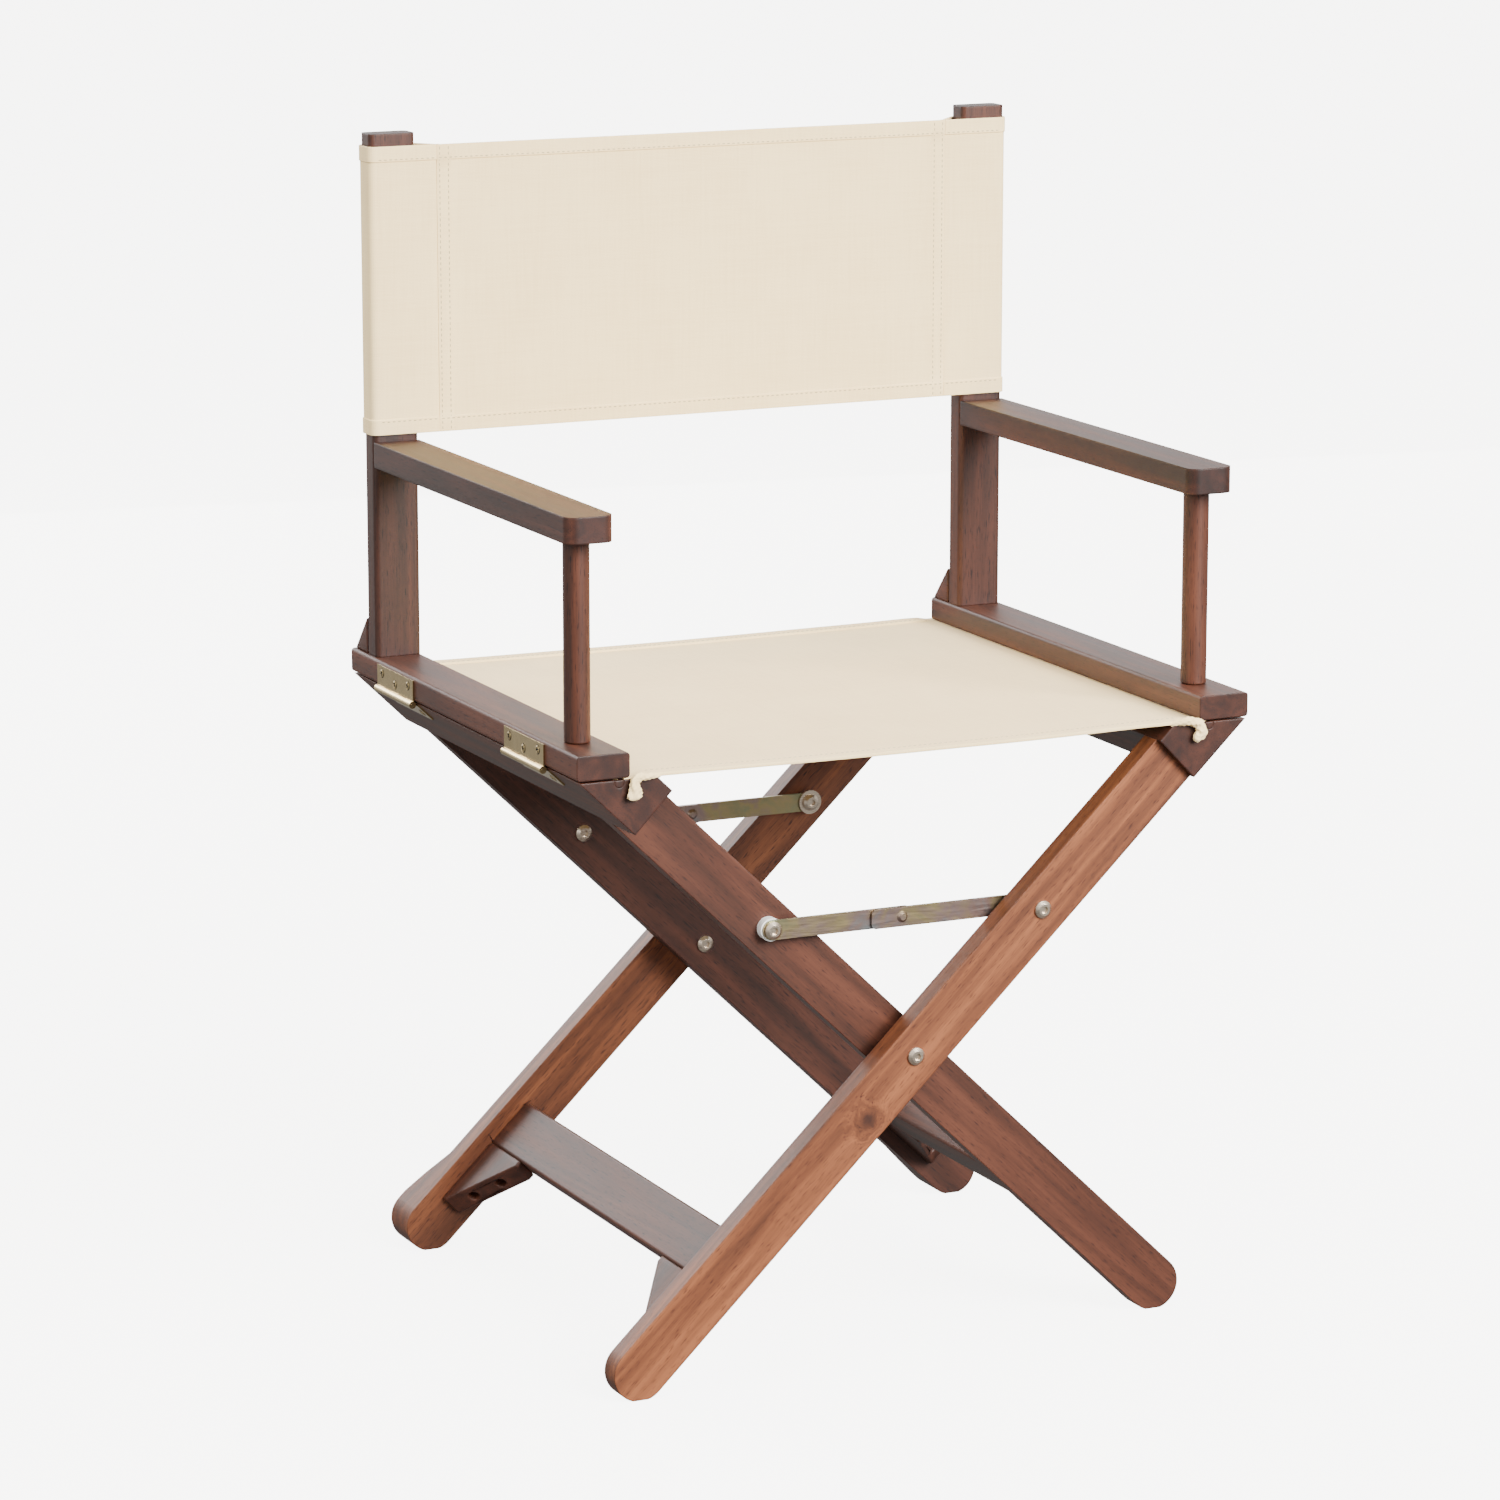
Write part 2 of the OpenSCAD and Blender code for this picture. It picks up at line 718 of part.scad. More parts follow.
module n_left_rear_leg() {
    color(wood_dark) difference() { rear_leg(-1, inner_r, pivot_d + 2 * run_fit, brace_d); rail_dowels(-1, inner_r); block_screws(-1, inner_r, -1); }
}

module n_left_foot_rail() {
    color(wood) foot_rail(-1, inner_f + leg_t, inner_r);
}

module n_left_corner_blocks() {
    color(wood_dark) { corner_block(-1, inner_f + leg_t, 1); corner_block(-1, inner_r, -1); }
}

module n_left_block_screws() {
    color(steel) { block_screws(-1, inner_f + leg_t, 1); block_screws(-1, inner_r, -1); }
}

module n_left_leg_dowels() {
    color(wood_dark) { top_dowel(-1, inner_f); top_dowel(-1, inner_r); rail_dowels(-1, inner_f + leg_t); rail_dowels(-1, inner_r); }
}

module n_left_seat_rail() {
    color(wood) seat_rail(-1);
}

module n_left_post() {
    color(wood) back_post(-1);
}

module n_left_wedge() {
    color(wood_dark) post_wedge(-1);
}

module n_left_armrest() {
    color(wood) armrest(-1);
}

module n_left_spindle() {
    color(wood_dark) spindle(-1);
}

module n_left_upper_leaves() {
    color(zinc) upper_leaves(-1);
}

module n_left_lower_leaves() {
    color(zinc) lower_leaves(-1);
}

module n_left_hinge_pins() {
    color(steel) hinge_pins(-1);
}

module n_left_upper_screws() {
    color(steel) upper_screws(-1);
}

module n_left_lower_screws() {
    color(steel) lower_screws(-1);
}

module n_left_edge_cord() {
    color(cloth) edge_cord(-1);
}

module n_left_sleeve() {
    color(cloth) sleeve(-1);
}

module n_pivot_bolts() {
    color(steel) pivot_bolts();
}

module n_pivot_nuts() {
    color(steel) pivot_nuts();
}

module n_pivot_spacers() {
    color(steel) pivot_spacers();
}

module n_front_left_link() {
    color(zinc) link(-1, fla_y, link_w / 2);
}

module n_front_right_link() {
    color(zinc) link(1, flb_y, link_tail);
}

module n_rear_left_link() {
    color(zinc) link(-1, rla_y, link_w / 2);
}

module n_rear_right_link() {
    color(zinc) link(1, rlb_y, link_tail);
}

module n_front_left_rivet() {
    color(steel) rivet_half(fla_y, 1);
}

module n_front_right_rivet() {
    color(steel) rivet_half(flb_y, -1);
}

module n_rear_left_rivet() {
    color(steel) rivet_half(rla_y, -1);
}

module n_rear_right_rivet() {
    color(steel) rivet_half(rlb_y, 1);
}

module n_right_brace_bolts() {
    color(steel) right_brace_bolts();
}

module n_right_brace_nuts() {
    color(steel) right_brace_nuts();
}

module n_left_brace_bolts() {
    color(steel) left_brace_bolts();
}

module n_left_brace_nuts() {
    color(steel) left_brace_nuts();
}

module n_front_nylon_washer() {
    color([0.95, 0.95, 0.93]) tube(-brace_x, brace_z, fla_y + link_t + face_gap, nylon_d, brace_d, inner_f - fla_y - link_t - face_gap);
}

module n_rear_steel_washer() {
    color(steel) tube(brace_x, brace_z, rlb_y - 1.8, washer_d, brace_d, 1.8 - face_gap);
}

module n_brace_spacers_right() {
    color(steel) { brace_spacer(brace_x, outer_f + leg_t, flb_y - face_gap); brace_spacer(brace_x, rlb_y + link_t + face_gap, outer_r); }
}

module n_brace_spacer_left() {
    color(steel) brace_spacer(-brace_x, inner_r + leg_t, rla_y - face_gap);
}

module n_seat_cloth() {
    color(cloth) seat_cloth();
}

module n_back_panel() {
    color(cloth) back_panel();
}

n_right_beam();  // right_beam
n_right_front_leg();  // right_front_leg
n_right_rear_leg();  // right_rear_leg
n_right_foot_rail();  // right_foot_rail
n_right_corner_blocks();  // right_corner_blocks
n_right_block_screws();  // right_block_screws
n_right_leg_dowels();  // right_leg_dowels
n_right_seat_rail();  // right_seat_rail
n_right_post();  // right_post
n_right_wedge();  // right_wedge
n_right_armrest();  // right_armrest
n_right_spindle();  // right_spindle
n_right_upper_leaves();  // right_upper_leaves
n_right_lower_leaves();  // right_lower_leaves
n_right_hinge_pins();  // right_hinge_pins
n_right_upper_screws();  // right_upper_screws
n_right_lower_screws();  // right_lower_screws
n_right_edge_cord();  // right_edge_cord
n_right_sleeve();  // right_sleeve
n_left_beam();  // left_beam
n_left_front_leg();  // left_front_leg
n_left_rear_leg();  // left_rear_leg
n_left_foot_rail();  // left_foot_rail
n_left_corner_blocks();  // left_corner_blocks
n_left_block_screws();  // left_block_screws
n_left_leg_dowels();  // left_leg_dowels
n_left_seat_rail();  // left_seat_rail
n_left_post();  // left_post
n_left_wedge();  // left_wedge
n_left_armrest();  // left_armrest
n_left_spindle();  // left_spindle
n_left_upper_leaves();  // left_upper_leaves
n_left_lower_leaves();  // left_lower_leaves
n_left_hinge_pins();  // left_hinge_pins
n_left_upper_screws();  // left_upper_screws
n_left_lower_screws();  // left_lower_screws
n_left_edge_cord();  // left_edge_cord
n_left_sleeve();  // left_sleeve
n_pivot_bolts();  // pivot_bolts
n_pivot_nuts();  // pivot_nuts
n_pivot_spacers();  // pivot_spacers
n_front_left_link();  // front_left_link
n_front_right_link();  // front_right_link
n_rear_left_link();  // rear_left_link
n_rear_right_link();  // rear_right_link
n_front_left_rivet();  // front_left_rivet
n_front_right_rivet();  // front_right_rivet
n_rear_left_rivet();  // rear_left_rivet
n_rear_right_rivet();  // rear_right_rivet
n_right_brace_bolts();  // right_brace_bolts
n_right_brace_nuts();  // right_brace_nuts
n_left_brace_bolts();  // left_brace_bolts
n_left_brace_nuts();  // left_brace_nuts
n_front_nylon_washer();  // front_nylon_washer
n_rear_steel_washer();  // rear_steel_washer
n_brace_spacers_right();  // brace_spacers_right
n_brace_spacer_left();  // brace_spacer_left
n_seat_cloth();  // seat_cloth
n_back_panel();  // back_panel
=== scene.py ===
import bpy
import math
from mathutils import Matrix, Vector, noise


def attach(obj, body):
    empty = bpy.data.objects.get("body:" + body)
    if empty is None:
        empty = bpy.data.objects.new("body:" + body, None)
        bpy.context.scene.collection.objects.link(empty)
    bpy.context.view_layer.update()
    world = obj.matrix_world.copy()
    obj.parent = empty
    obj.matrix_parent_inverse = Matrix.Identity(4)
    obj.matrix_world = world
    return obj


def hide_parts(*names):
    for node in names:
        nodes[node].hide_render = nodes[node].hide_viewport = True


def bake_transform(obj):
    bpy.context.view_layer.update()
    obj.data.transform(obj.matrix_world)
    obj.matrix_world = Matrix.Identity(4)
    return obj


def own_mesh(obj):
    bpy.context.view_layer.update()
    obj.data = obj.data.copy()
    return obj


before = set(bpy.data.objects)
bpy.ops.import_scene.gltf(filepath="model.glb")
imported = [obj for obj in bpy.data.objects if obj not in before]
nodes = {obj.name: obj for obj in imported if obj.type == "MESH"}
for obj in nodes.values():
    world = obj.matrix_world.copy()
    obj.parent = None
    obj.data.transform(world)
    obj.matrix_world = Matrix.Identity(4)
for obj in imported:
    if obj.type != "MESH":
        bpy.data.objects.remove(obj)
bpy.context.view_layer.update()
scene = bpy.context.scene
bpy.ops.object.select_all(action="DESELECT")
print("frame loaded,", len(nodes), "nodes")


# camera and light
view = {"place": (-1.76732, -3.72117, 1.30208), "tilt": 77.84, "turn": -24.98, "lens": 135.17}
studio = {
    "sky": "#f4f3f1", "skyTop": 1.42, "skyLow": 0.38, "skyFrom": -0.35, "skyTo": 0.6,
    "key": {"place": (1.3, -3.5, 2.5), "size": (2.4, 2.4), "power": 600},
    "side": {"place": (-3.4, -0.8, 2.2), "size": (2.0, 2.0), "power": 85},
    "back": {"place": (0.6, 3.4, 1.0), "size": (5.0, 2.0), "power": 62},
    "rim": {"place": (-0.9, 3.4, 2.0), "size": (2.2, 1.4), "power": 80},
    "floorGlow": 7.0,
}


def toLinear(hexCode):
    parts = [int(hexCode[i:i + 2], 16) / 255 for i in (1, 3, 5)]
    return tuple(c / 12.92 if c <= 0.04045 else ((c + 0.055) / 1.055) ** 2.4 for c in parts) + (1.0,)


turned = (math.radians(view["tilt"]), 0, math.radians(view["turn"]))
bpy.ops.object.camera_add(location=view["place"], rotation=turned)
camera = bpy.context.object
camera.data.lens = view["lens"]
camera.data.sensor_width = 36
camera.data.clip_end = 200
scene.camera = camera


def softLight(name, spec, target=(0, 0, 0.45)):
    bpy.ops.object.light_add(type="AREA", location=spec["place"])
    lamp = bpy.context.object
    lamp.name = name
    lamp.data.shape = "RECTANGLE"
    lamp.data.size, lamp.data.size_y = spec["size"]
    lamp.data.energy = spec["power"]
    lamp.visible_camera = False
    lamp.rotation_euler = (Vector(target) - Vector(spec["place"])).to_track_quat("-Z", "Y").to_euler()


softLight("keyLight", studio["key"])
softLight("sideLight", studio["side"])
softLight("backLight", studio["back"])
softLight("rimLight", studio["rim"])  # gives the slanted faces their grey sheen

world = bpy.data.worlds.new("studioSky")
world.use_nodes = True
scene.world = world


def addNode(tree, kind, settings=None, links=None):
    # kind is a node there already, or the name of a new one
    node = tree.nodes.new("ShaderNode" + kind) if isinstance(kind, str) else kind
    # settings that name a socket set its value, the others set the node itself
    for key, value in (settings or {}).items():
        if isinstance(key, int) or key in node.inputs:
            node.inputs[key].default_value = value
        else:
            setattr(node, key, value)
    # a node given as a link stands for its first output
    for key, source in (links or {}).items():
        socket = source if isinstance(source, bpy.types.NodeSocket) else source.outputs[0]
        tree.links.new(socket, node.inputs[key])
    return node


# the room is brighter overhead than underneath
sky = world.node_tree
skyPlace = addNode(sky, "TexCoord")
skyHeight = addNode(sky, "SeparateXYZ", {}, {"Vector": skyPlace.outputs["Generated"]})
skyLevel = addNode(sky, "MapRange",
                   {"From Min": studio["skyFrom"], "From Max": studio["skyTo"],
                    "To Min": studio["skyLow"], "To Max": studio["skyTop"]},
                   {"Value": skyHeight.outputs["Z"]})
addNode(sky, sky.nodes["Background"], {"Color": toLinear(studio["sky"])}, {"Strength": skyLevel})
print("camera and lights set")


def newMaterial(name):
    material = bpy.data.materials.new(name)
    material.use_nodes = True
    tree = material.node_tree
    surface = tree.nodes["Principled BSDF"]
    return material, tree, surface


def fadeTable(ramp, stops):
    # stops are place and colour pairs
    table = ramp.color_ramp
    while len(table.elements) > 2:
        table.elements.remove(table.elements[-1])
    for i, (place, colour) in enumerate(stops):
        stop = table.elements[i] if i < 2 else table.elements.new(place)
        stop.position = place
        stop.color = colour if isinstance(colour, tuple) else toLinear(colour)


# Acacia boards, planed and sanded, stained walnut and rubbed with a satin oil varnish:
# the eye gets a red-brown with long growth lines, short dark pores and a soft grey sheen on top faces.
stain = {
    "warm": {"light": "#87502f", "mid": "#673920", "dark": "#482614"},
    "mid": {"light": "#5a3120", "mid": "#452315", "dark": "#2f170d"},
    "deep": {"light": "#4c281a", "mid": "#391c11", "dark": "#26120a"},
    "lineGap": 7.0, "poreLong": 9.0, "poreWide": 0.75, "poreDepth": 0.12,  # mm, pores drawn a little wide to show
    "roughness": (0.45, 0.60), "coat": 0.08, "coatRoughness": 0.34,
    "figure": (2.2, 34.0, 34.0), "lineTurns": 10.0528,  # the long smooth noise, and how far one step turns the wave
    "lineShare": 0.13, "fibreShare": 0.34,  # how much growth lines and fibres count beside the broad streaks
    "ior": 1.4, "swirl": 16,  # mm, how uneven a knot's outline is
    "endGrain": "#b9aaa0", "pore": "#8d7468",  # both drink more stain, the colour is multiplied by these
    "knot": "#2f160c",
}
edgeRound = {"wood": 1.5, "metal": 0.12}  # mm, how far sharp edges were sanded or tumbled round
legAngle = math.radians(43.94)
grainTurns = {
    "along": (0, 0, math.radians(-90)),
    "upright": (0, math.radians(90), 0),
    "rightLeg": (0, legAngle, 0),
    "leftLeg": (0, math.pi - legAngle, 0),
}


def stainedAcacia(name, grain, tone, shift, knot=None, softEdges=False):
    material, tree, surface = newMaterial(name)
    colours = stain[tone]
    coords = addNode(tree, "TexCoord")
    turned = addNode(tree, "Mapping", {"Rotation": grainTurns[grain]}, {"Vector": coords.outputs["Object"]})
    moved = addNode(tree, "Mapping", {"Location": shift}, {"Vector": turned})
    place = moved
    if knot:
        # growth lines bend round a small knot
        swirl = addNode(tree, "TexNoise", {"Scale": 90.0, "Detail": 2.0},
                        {"Vector": coords.outputs["Object"]})
        warp = addNode(tree, "VectorMath", {"operation": "MULTIPLY_ADD", 1: (stain["swirl"] / 1000,) * 3},
                       {0: swirl.outputs["Color"], 2: coords.outputs["Object"]})
        heartPlace = [c + stain["swirl"] / 2000 for c in knot["place"]]  # the swirl moves all by half its size
        away = addNode(tree, "VectorMath", {"operation": "DISTANCE", 1: heartPlace}, {0: warp})
        near = addNode(tree, "MapRange",
                       {"From Min": 0.0, "From Max": knot["reach"], "To Min": 1.0, "To Max": 0.0,
                        "interpolation_type": "SMOOTHERSTEP"},
                       {"Value": away.outputs["Value"]})
        push = addNode(tree, "VectorMath", {"operation": "SCALE", 0: (0.0, 0.012, 0.012)}, {"Scale": near})
        bent = addNode(tree, "VectorMath", {"operation": "ADD"}, {0: place, 1: push})
        place = bent
    # growth lines: contour lines of a long smooth noise, about lineGap apart across the board
    figure = addNode(tree, "Mapping", {"Scale": stain["figure"]}, {"Vector": place})
    swell = addNode(tree, "TexNoise", {"Scale": 1.0, "Detail": 1.5, "Roughness": 0.45, "Distortion": 0.15},
                    {"Vector": figure})
    rings = addNode(tree, "Math",
                    {"operation": "MULTIPLY", 1: 1000 / stain["lineGap"] / stain["figure"][1] * stain["lineTurns"]},
                    {0: swell})
    wave = addNode(tree, "Math", {"operation": "SINE"}, {0: rings})
    lines = addNode(tree, "MapRange", {"From Min": -1.0, "From Max": 1.0, "To Min": 0.0, "To Max": 1.0},
                    {"Value": wave})
    # broad lighter and darker streaks, 20 to 40 mm wide
    broad = addNode(tree, "Mapping", {"Scale": (3.0, 38.0, 38.0)}, {"Vector": place})
    streak = addNode(tree, "TexNoise", {"Scale": 1.0, "Detail": 3.0, "Roughness": 0.6}, {"Vector": broad})
    # fibres, about 1 mm wide and 40 mm long
    fine = addNode(tree, "Mapping", {"Scale": (26.0, 900.0, 900.0)}, {"Vector": place})
    fibre = addNode(tree, "TexNoise", {"Scale": 1.0, "Detail": 3.0, "Roughness": 0.65}, {"Vector": fine})
    mixed = addNode(tree, "Math", {"operation": "MULTIPLY_ADD", 1: stain["lineShare"]}, {0: lines, 2: streak})
    withFibre = addNode(tree, "Math", {"operation": "MULTIPLY_ADD", 1: stain["fibreShare"]},
                        {0: fibre, 2: mixed})
    shade = addNode(tree, "ValToRGB", {}, {"Fac": withFibre})
    fadeTable(shade, [(0.50, colours["dark"]), (0.72, colours["mid"]), (0.94, colours["light"])])
    # open pores, short dark dashes along the grain
    dash = addNode(tree, "Mapping",
                   {"Scale": (1000 / stain["poreLong"], 1000 / stain["poreWide"], 1000 / stain["poreWide"])},
                   {"Vector": place})
    pore = addNode(tree, "TexNoise", {"Scale": 1.0, "Detail": 1.0, "Roughness": 0.5}, {"Vector": dash})
    openPore = addNode(tree, "MapRange", {"From Min": 0.60, "From Max": 0.72, "To Min": 0.0, "To Max": 1.0},
                       {"Value": pore})
    darker = addNode(tree, "Mix", {"data_type": "RGBA", "blend_type": "MULTIPLY", 7: toLinear(stain["pore"])},
                     {0: openPore, 6: shade})
    # sawn ends, where the surface faces along the grain
    facing = addNode(tree, "Mapping", {"vector_type": "NORMAL", "Rotation": grainTurns[grain]},
                     {"Vector": coords.outputs["Normal"]})
    alongGrain = addNode(tree, "SeparateXYZ", {}, {"Vector": facing})
    sawn = addNode(tree, "Math", {"operation": "ABSOLUTE"}, {0: alongGrain.outputs["X"]})
    endShare = addNode(tree, "MapRange", {"From Min": 0.80, "From Max": 0.95, "To Min": 0.0, "To Max": 1.0},
                       {"Value": sawn})
    ends = addNode(tree, "Mix",
                   {"data_type": "RGBA", "blend_type": "MULTIPLY", 7: toLinear(stain["endGrain"])},
                   {0: endShare, 6: darker.outputs[2]})
    colour = ends.outputs[2]
    if knot:
        heart = addNode(tree, "MapRange",
                        {"From Min": 0.0, "From Max": knot["size"], "To Min": 1.0, "To Max": 0.0,
                         "interpolation_type": "SMOOTHSTEP"},
                        {"Value": away.outputs["Value"]})
        spot = addNode(tree, "Mix", {"data_type": "RGBA", 7: toLinear(stain["knot"])}, {0: heart, 6: colour})
        colour = spot.outputs[2]
    rough = addNode(tree, "MapRange", {"To Min": stain["roughness"][0], "To Max": stain["roughness"][1]},
                    {"Value": streak})
    height = addNode(tree, "Math", {"operation": "MULTIPLY_ADD", 1: -0.8}, {0: openPore, 2: fibre})
    bump = addNode(tree, "Bump", {"Strength": 0.25, "Distance": stain["poreDepth"] / 1000},
                   {"Height": height})
    if softEdges:
        # sanded edges, where the board's own mesh is too finely cut for a modifier
        sanded = addNode(tree, "Bevel", {"samples": 6, "Radius": edgeRound["wood"] / 1000})
        addNode(tree, bump, {}, {"Normal": sanded})
        addNode(tree, surface, {}, {"Coat Normal": sanded})
    addNode(tree, surface,
            {"IOR": stain["ior"], "Coat Weight": stain["coat"], "Coat Roughness": stain["coatRoughness"]},
            {"Base Color": colour, "Roughness": rough, "Normal": bump})
    return material


# Cotton canvas, plain woven, undyed and pressed flat: matt cream with a fine even weave and a few thick threads.
canvasLook = {
    "light": "#ffe2a8", "shade": "#efcf94", "roughness": 0.92, "sheen": 0.12,
    "thread": 1.15, "weaveDepth": 0.10,  # mm, the real thread spacing is 0.6, drawn coarser to show
}


def wovenCanvas():
    material, tree, surface = newMaterial("creamCottonCanvas")
    coords = addNode(tree, "TexCoord")
    flat = coords.outputs["UV"]
    split = addNode(tree, "SeparateXYZ", {}, {"Vector": flat})
    waves = []
    for axis in ("X", "Y"):
        turns = addNode(tree, "Math", {"operation": "MULTIPLY", 1: math.pi * 1000 / canvasLook["thread"]},
                        {0: split.outputs[axis]})
        waves.append(addNode(tree, "Math", {"operation": "SINE"}, {0: turns}))
    over = addNode(tree, "Math", {"operation": "MULTIPLY"}, {0: waves[0], 1: waves[1]})
    crown = addNode(tree, "Math", {"operation": "ABSOLUTE"}, {0: over})
    thread = addNode(tree, "Math", {"operation": "POWER", 1: 0.5}, {0: crown})
    # slubs: threads that are a little thicker, 20 to 60 mm long, both ways
    slubAcross = addNode(tree, "Mapping", {"Scale": (18.0, 420.0, 1.0)}, {"Vector": flat})
    slubAlong = addNode(tree, "Mapping", {"Scale": (420.0, 18.0, 1.0)}, {"Vector": flat})
    one = addNode(tree, "TexNoise", {"Scale": 1.0, "Detail": 2.0, "Roughness": 0.5}, {"Vector": slubAcross})
    two = addNode(tree, "TexNoise", {"Scale": 1.0, "Detail": 2.0, "Roughness": 0.5}, {"Vector": slubAlong})
    slubs = addNode(tree, "Math", {"operation": "ADD"}, {0: one, 1: two})
    cloudy = addNode(tree, "TexNoise", {"Scale": 14.0, "Detail": 2.0}, {"Vector": flat})
    soft = addNode(tree, "Math", {"operation": "MULTIPLY", 1: 0.35}, {0: cloudy})
    # thread crowns lighter and the low places between threads darker: painted shade in the weave, beside a soft
    # cloudy tone
    gap = addNode(tree, "Math", {"operation": "MULTIPLY_ADD", 1: 0.30}, {0: thread, 2: soft})
    tint = addNode(tree, "Math", {"operation": "MULTIPLY_ADD", 1: 0.30}, {0: slubs, 2: gap})
    shade = addNode(tree, "ValToRGB", {}, {"Fac": tint})
    fadeTable(shade, [(0.35, canvasLook["shade"]), (0.78, canvasLook["light"])])
    height = addNode(tree, "Math", {"operation": "MULTIPLY_ADD", 1: 0.6}, {0: slubs, 2: thread})
    bump = addNode(tree, "Bump", {"Strength": 0.45, "Distance": canvasLook["weaveDepth"] / 1000},
                   {"Height": height})
    addNode(tree, surface,
            {"Roughness": canvasLook["roughness"], "Sheen Weight": canvasLook["sheen"], "Sheen Roughness": 0.5},
            {"Base Color": shade, "Normal": bump})
    return material


canvas = wovenCanvas()

# Cotton sewing thread, twisted from two yarns: a shade darker than the canvas, with a slanting twist.
threadLook = {"light": "#c9b48c", "dark": "#9c8661", "twist": 0.5}


def sewingThread():
    material, tree, surface = newMaterial("twistedCottonThread")
    coords = addNode(tree, "TexCoord")
    turned = addNode(tree, "Mapping", {"Rotation": (0, 0.7, 0.7), "Scale": (1000 / threadLook["twist"],) * 3},
                     {"Vector": coords.outputs["Object"]})
    yarn = addNode(tree, "TexWave", {"Scale": 0.5, "Distortion": 1.0}, {"Vector": turned})
    shade = addNode(tree, "ValToRGB", {}, {"Fac": yarn.outputs["Fac"]})
    fadeTable(shade, [(0.0, threadLook["dark"]), (1.0, threadLook["light"])])
    addNode(tree, surface, {"Roughness": 0.85}, {"Base Color": shade})
    return material


thread = sewingThread()

# Metals are all pressed or turned steel with a thin plating, so they differ in tint and gloss.
platings = {
    "yellowZincSteel": {"tints": ["#83866a", "#a0906b", "#958079", "#878b8c"],  # chromated flat bar, rainbow film
                        "cloud": 30, "roughness": (0.28, 0.46), "scratch": 0.6},
    "brassPlatedSteel": {"tints": ["#bfa876", "#c9b485", "#b7a070", "#c3b184"],  # stamped hinge leaves
                         "cloud": 14, "roughness": (0.18, 0.27), "scratch": 0.8},
    "brightZincSteel": {"tints": ["#cdbeab", "#d6c7b4", "#c6b5a2", "#cfc0ac"],  # turned bolts, nuts and screws
                        "cloud": 40, "roughness": (0.24, 0.34), "scratch": 0.5},
}


def platedSteel(name):
    look = platings[name]
    material, tree, surface = newMaterial(name)
    coords = addNode(tree, "TexCoord")
    film = addNode(tree, "TexNoise",
                   {"Scale": look["cloud"], "Detail": 3.0, "Roughness": 0.6, "Distortion": 0.6},
                   {"Vector": coords.outputs["Object"]})
    shade = addNode(tree, "ValToRGB", {}, {"Fac": film})
    tints = look["tints"]
    fadeTable(shade, [(0.30, tints[0]), (0.74, tints[3]), (0.45, tints[1]), (0.60, tints[2])])
    # rolling and tumbling marks, about look["scratch"] mm apart
    marks = addNode(tree, "Mapping", {"Scale": (60.0, 60.0, 1000 / look["scratch"])},
                    {"Vector": coords.outputs["Object"]})
    fine = addNode(tree, "TexNoise", {"Scale": 1.0, "Detail": 3.0}, {"Vector": marks})
    rough = addNode(tree, "MapRange",
                    {"From Min": 0.3, "From Max": 0.7, "To Min": look["roughness"][0],
                     "To Max": look["roughness"][1]},
                    {"Value": fine.outputs["Fac"]})
    tumbled = addNode(tree, "Bevel", {"samples": 4, "Radius": edgeRound["metal"] / 1000})
    bump = addNode(tree, "Bump", {"Strength": 0.06, "Distance": 0.00003},
                   {"Height": fine.outputs["Fac"], "Normal": tumbled})
    addNode(tree, surface, {"Metallic": 1.0}, {"Base Color": shade, "Roughness": rough, "Normal": bump})
    return material


# Turned nylon washer: milky white, slightly see-through at its edge, with faint turning rings.
def turnedNylon():
    material, tree, surface = newMaterial("turnedNylon")
    coords = addNode(tree, "TexCoord")
    stains = addNode(tree, "TexNoise", {"Scale": 180.0, "Detail": 2.0}, {"Vector": coords.outputs["Object"]})
    shade = addNode(tree, "ValToRGB", {}, {"Fac": stains})
    fadeTable(shade, [(0.3, "#d9d9d4"), (0.7, "#f1f0ec")])
    bump = addNode(tree, "Bump", {"Strength": 0.15, "Distance": 0.00005}, {"Height": stains})
    addNode(tree, surface, {"Roughness": 0.42, "IOR": 1.53}, {"Base Color": shade, "Normal": bump})
    return material


yellowZinc = platedSteel("yellowZincSteel")
brassPlate = platedSteel("brassPlatedSteel")
brightZinc = platedSteel("brightZincSteel")
nylon = turnedNylon()

